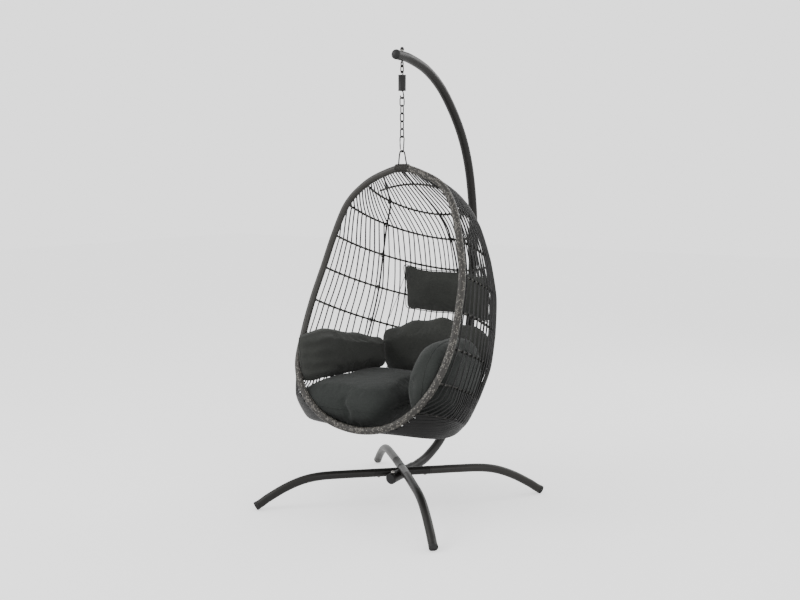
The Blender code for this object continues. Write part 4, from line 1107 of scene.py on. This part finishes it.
def puff(cover, seam, limit):
    """Fills the cover like a stuffed cushion and keeps the creases that form along its seam."""
    before = [vertex.co.copy() for vertex in cover.data.vertices]
    group = cover.vertex_groups.new(name="seam")
    group.add(seam, 1.0, "ADD")
    cloth = cover.modifiers.new("cloth", "CLOTH")
    settings = cloth.settings
    settings.quality = 4
    settings.mass = 0.25
    settings.tension_stiffness = 12
    settings.compression_stiffness = 12
    settings.shear_stiffness = 4
    settings.bending_stiffness = 0.3
    settings.use_pressure = True
    settings.uniform_pressure_force = 4.0
    settings.effector_weights.gravity = 0
    settings.vertex_group_shrink = "seam"
    settings.shrink_min = 0.0
    settings.shrink_max = SEAM_SHRINK
    cloth.collision_settings.use_collision = False
    cloth.point_cache.frame_start = 1
    cloth.point_cache.frame_end = CLOTH_FRAMES
    scene = bpy.context.scene
    for number in range(1, CLOTH_FRAMES + 1):
        scene.frame_set(number)
    evaluated = cover.evaluated_get(bpy.context.evaluated_depsgraph_get())
    mesh = bpy.data.meshes.new_from_object(evaluated)
    cover.modifiers.clear()
    cover.data = mesh
    scene.frame_set(1)
    for vertex, start in zip(mesh.vertices, before):
        move = vertex.co - start
        if move.length > limit:
            vertex.co = start + move * (limit / move.length)


def crease(point, line, width, depth):
    """How deep a sewn or folded line presses in at a point."""
    nearest = min((point - spot).length for spot in line)
    return depth * math.exp(-(nearest / width) ** 2)


def shape_seat(point, place):
    """A sewn line dips into the seat's front, and its front left corner is drawn up and inward."""
    tuft = [Vector((0.042 + 0.014 * math.sin(step * 0.7), -0.245 - 0.05 * min(step, 8) / 8,
                    0.085 - 0.013 * max(step - 3, 0))) for step in range(13)]
    inward = -Vector((place.x * 0.3, place.y, place.z)).normalized()
    point = point + inward * crease(place, tuft, 0.013, 0.016)
    drape = step_between(-place.x, 0.12, 0.24) * step_between(-place.y, 0.12, 0.24)
    return point + Vector((-0.012, -0.012, 0.014)) * float(drape)


def shape_back(point, place):
    """Its top edge rises in the middle and falls in waves towards both ends."""
    high = float(step_between(place.z, 0.0, 0.11))
    fall = 0.062 * (abs(place.x - 0.035) / 0.27) ** 1.5 - 0.006 * math.sin(place.x * 38)
    return point + Vector((0, 0, -fall * high))


def shape_left_wing(point, place):
    """Its top edge is highest near the front and falls towards the back cushion."""
    high = float(step_between(place.z, -0.01, 0.08))
    fall = 0.060 * float(step_between(place.y, -0.06, 0.20)) + 0.008 * math.cos(place.y * 26)
    folds = 0.004 * math.sin(place.z * 130 + 6 * place.y) * float(step_between(-place.y, 0.06, 0.19))
    return point + Vector((folds, 0, -fall * high))


def shape_right_wing(point, place):
    low = float(step_between(-place.z, 0.02, 0.13)) * float(step_between(place.y, -0.02, 0.2))
    return point + Vector((0, 0, 0.02 * low))


def shape_pillow(point, place):
    return point + Vector((0, 0.003 * math.sin(place.x * 24), 0.004 * math.sin(place.x * 17 + 0.6)))


def surface_samples():
    """Points just inside the hoops and ribs with their outward directions, for fitting."""
    rows, columns = 130, 150
    tree = KDTree((rows + 1) * (columns + 1))
    directions = []
    for row in range(rows + 1):
        for column in range(columns + 1):
            level = LAST_LEVEL * row / rows
            across = 0.985 * (-1 + 2 * column / columns)
            ribs = sum(math.exp(-((across - rib[0]) / 0.022) ** 2) for rib in RIBS.values())
            inner = basket_offset(level, across, -CUSHION_CLEARANCE - RIB_CLEARANCE * min(ribs, 1))
            outer = basket_offset(level, across, 0)
            tree.insert(inner, len(directions))
            directions.append((outer - inner).normalized())
    tree.balance()
    return tree, directions


def fitted(point, samples, rim_tree):
    """The point, pressed in where it would pass through the basket or the rim."""
    tree, directions = samples
    for _ in range(3):
        sample, index, _ = tree.find(point)
        beyond = (point - sample).dot(directions[index])
        if beyond > 0:
            point = point - directions[index] * beyond
        nearest, _, distance = rim_tree.find(point)
        if distance > RIM_REACH:
            break
        inward = (on_axis(*INSIDE_POINT) - nearest).normalized()
        away = point - nearest
        if away.dot(inward) < 0:
            away -= 2 * away.dot(inward) * inward
        point = nearest + away.normalized() * max(away.length, RIM_RADIUS + RIM_CLEARANCE)
    return point


NEIGHBOUR_GAP = 0.0012          # between cushions pressed against each other
NEIGHBOUR_REACH = 0.045
NEARLY_UP = Vector((0.013, 0.021, 1.0))     # tilted, so that it runs along no upright edge
MOST_CROSSINGS = 40


def is_inside(tree, point):
    """Whether a point is inside a closed surface, by counting crossings on a line from it."""
    crossings = 0
    start = point
    while crossings < MOST_CROSSINGS:
        hit, _, _, _ = tree.ray_cast(start, NEARLY_UP)
        if hit is None:
            break
        crossings += 1
        start = hit + NEARLY_UP * 0.00002
    return crossings % 2 == 1


def clear_of(point, placed):
    """The point, pressed out of the cushions that are already in place."""
    for tree in placed:
        nearest, _, _, distance = tree.find_nearest(point, NEIGHBOUR_REACH)
        if nearest is None or distance < 1e-6:
            continue
        if is_inside(tree, point):
            point = nearest + (nearest - point).normalized() * NEIGHBOUR_GAP
        elif distance < NEIGHBOUR_GAP:
            point = nearest + (point - nearest).normalized() * NEIGHBOUR_GAP
    return point


SHAPERS = {"seat_cushion": shape_seat, "back_cushion": shape_back, "left_wing_cushion": shape_left_wing,
           "right_wing_cushion": shape_right_wing, "head_pillow": shape_pillow}


def build_cushion(name, fabric, samples, rim_tree, placed):
    cover, seam = cushion_start(name)
    bpy.context.scene.collection.objects.link(cover)
    starts = [vertex.co.copy() for vertex in cover.data.vertices]
    puff(cover, seam, PUFF_LIMIT[name])
    for vertex, start in zip(cover.data.vertices, starts):
        rumple = 0.0022 * noise.noise(Vector(start) * 16) + 0.0010 * noise.noise(Vector(start) * 48)
        vertex.co = SHAPERS[name](vertex.co, start) + start.normalized() * rumple
    piping = [cover.data.vertices[index].co.copy() for index in seam_order(cover, seam, name)]
    finer = cover.modifiers.new("finer", "SUBSURF")
    finer.levels = 1
    finer.render_levels = 1
    evaluated = cover.evaluated_get(bpy.context.evaluated_depsgraph_get())
    mesh = bpy.data.meshes.new_from_object(evaluated)
    cover.modifiers.clear()
    cover.data = mesh
    turned = cushion_frame(name)
    for vertex in mesh.vertices:
        vertex.co = clear_of(fitted(turned @ vertex.co, samples, rim_tree), placed)
    ready(cover, "basket", fabric, name)
    piping = [clear_of(fitted(turned @ point, samples, rim_tree), placed) for point in piping]
    edge = smooth(piping, 2, closed=True)
    cord = textured_tube(name + "_piping", spaced(edge, 0.003, closed=True), 0.0021,
                         rope(2, 0.009, 0.0003), sides=8, closed=True)
    ready(cord, "basket", fabric, name)
    return cover


def seam_order(cover, seam, name):
    """The seam's points in order round the cushion, one for each direction."""
    thin = CUSHIONS[name].thin
    flat_axes = [axis for axis in range(3) if axis != thin]
    size = CUSHIONS[name].size
    middle = {}
    for index in seam:
        place = cover.data.vertices[index].co
        angle = math.atan2(place[flat_axes[1]] / size[flat_axes[1]], place[flat_axes[0]] / size[flat_axes[0]])
        key = round(angle * 26)
        if key not in middle or abs(place[thin]) < abs(cover.data.vertices[middle[key]].co[thin]):
            middle[key] = index
    return [middle[key] for key in sorted(middle)]


def build_pillow_ties():
    """A tape from each upper corner of the pillow, wound round the hoop behind it."""
    frame_of_pillow = cushion_frame("head_pillow")
    ties = []
    for side in (-1, 1):
        corner = frame_of_pillow @ Vector((0.208 * side, 0.004, 0.088))
        best = min(((on_axis(*hoop_point(5, step / 100)) - corner).length, step) for step in range(-70, 71))
        across = best[1] / 100
        centre = on_axis(*hoop_point(5, across))
        over = hoop_point(5, across + 0.01) - hoop_point(5, across - 0.01)
        ties.append([corner, corner.lerp(centre, 0.5) + Vector((0, 0, -0.006)),
                     *ring_round(centre, over, HOOP_RADIUS + 0.001, 0.0012, 1.5, 0.006)])
    ready(tube_object("pillow_ties", ties, 0.0013, sides=8), "basket", THREAD)


def build_cushions(outline):
    samples = surface_samples()
    placed = []
    rim_tree = KDTree(len(outline))
    for index, point in enumerate(outline):
        rim_tree.insert(point, index)
    rim_tree.balance()
    # the seat and the right wing cushion take the darker copy of the cloth as painted shade
    for name, fill, fabric in (("back_cushion", 0.8, FABRIC), ("left_wing_cushion", 0.75, FABRIC),
                               ("right_wing_cushion", 0.8, PAINTED_SHADE_FABRIC),
                               ("seat_cushion", 0.85, PAINTED_SHADE_FABRIC), ("head_pillow", 0.6, FABRIC)):
        cover = build_cushion(name, fabric, samples, rim_tree, placed)
        corners = [vertex.co.copy() for vertex in cover.data.vertices]
        placed.append(BVHTree.FromPolygons(corners, [face.vertices[:] for face in cover.data.polygons]))
    build_pillow_ties()


# ---------------------------------------------------------------- surroundings
CAMERA_DISTANCE = 4.5           # from the hanging axis
CAMERA_HEIGHT = 1.432
CAMERA_TURN = 34.1              # degrees round the hanging axis from straight in front
CAMERA_DIP = 6.99
CAMERA_PAN = 0.11


def build_surroundings():
    """A pale floor and a soft, even studio light."""
    floor_mesh = bpy.data.meshes.new("studio_floor")
    half = 14.0
    floor_mesh.from_pydata([(-half, -half, 0), (half, -half, 0), (half, half, 0), (-half, half, 0)], [],
                           [(0, 1, 2, 3)])
    floor = bpy.data.objects.new("studio_floor", floor_mesh)
    bpy.context.scene.collection.objects.link(floor)
    paint, nodes, _ = new_material("pale_floor")
    shader = nodes["Principled BSDF"]
    for socket, value in (("Base Color", (0.5, 0.5, 0.5, 1)), ("Roughness", 0.9),
                          ("Emission Color", (1, 1, 1, 1)), ("Emission Strength", 0.82)):
        shader.inputs[socket].default_value = value
    floor_mesh.materials.append(paint)

    world = bpy.data.worlds.new("studio")
    world.use_nodes = True
    background = world.node_tree.nodes["Background"]
    background.inputs["Color"].default_value = (1.0, 1.0, 1.0, 1.0)
    background.inputs["Strength"].default_value = 1.9
    bpy.context.scene.world = world

    lamps = (("key_light", (-2.6, -3.2, 3.4), 2.4, 150.0), ("fill_light", (3.4, -2.4, 2.2), 2.2, 60.0),
             ("rim_light", (1.4, 3.4, 3.0), 2.0, 70.0))
    for name, place, size, power in lamps:
        lamp = bpy.data.lights.new(name, "AREA")
        lamp.size = size
        lamp.energy = power
        thing = bpy.data.objects.new(name, lamp)
        thing.location = place
        thing.rotation_euler = (Vector((0, 0, 0.9)) - Vector(place)).to_track_quat("-Z", "Y").to_euler()
        bpy.context.scene.collection.objects.link(thing)

    camera = bpy.data.cameras.new("camera")
    camera.lens = 48.05
    camera.sensor_width = 36.0
    view = bpy.data.objects.new("camera", camera)
    turn = math.radians(CAMERA_TURN)
    view.location = (CAMERA_DISTANCE * math.sin(turn), HANG_Y - CAMERA_DISTANCE * math.cos(turn),
                     CAMERA_HEIGHT)
    view.rotation_euler = (math.radians(90 - CAMERA_DIP), 0, math.radians(CAMERA_TURN + CAMERA_PAN))
    bpy.context.scene.collection.objects.link(view)
    bpy.context.scene.camera = view


def main():
    for name, (turn, bar_height) in LEGS.items():
        build_leg(name, turn, bar_height)
    centre, along = build_hub()
    build_post(centre, along)
    build_eye_bolt()
    build_spring()
    build_chain()
    outline = build_rim()
    build_hoops(outline)
    build_ribs()
    build_crossbar()
    build_loop()
    build_strands()
    build_cushions(outline)
    build_surroundings()


main()
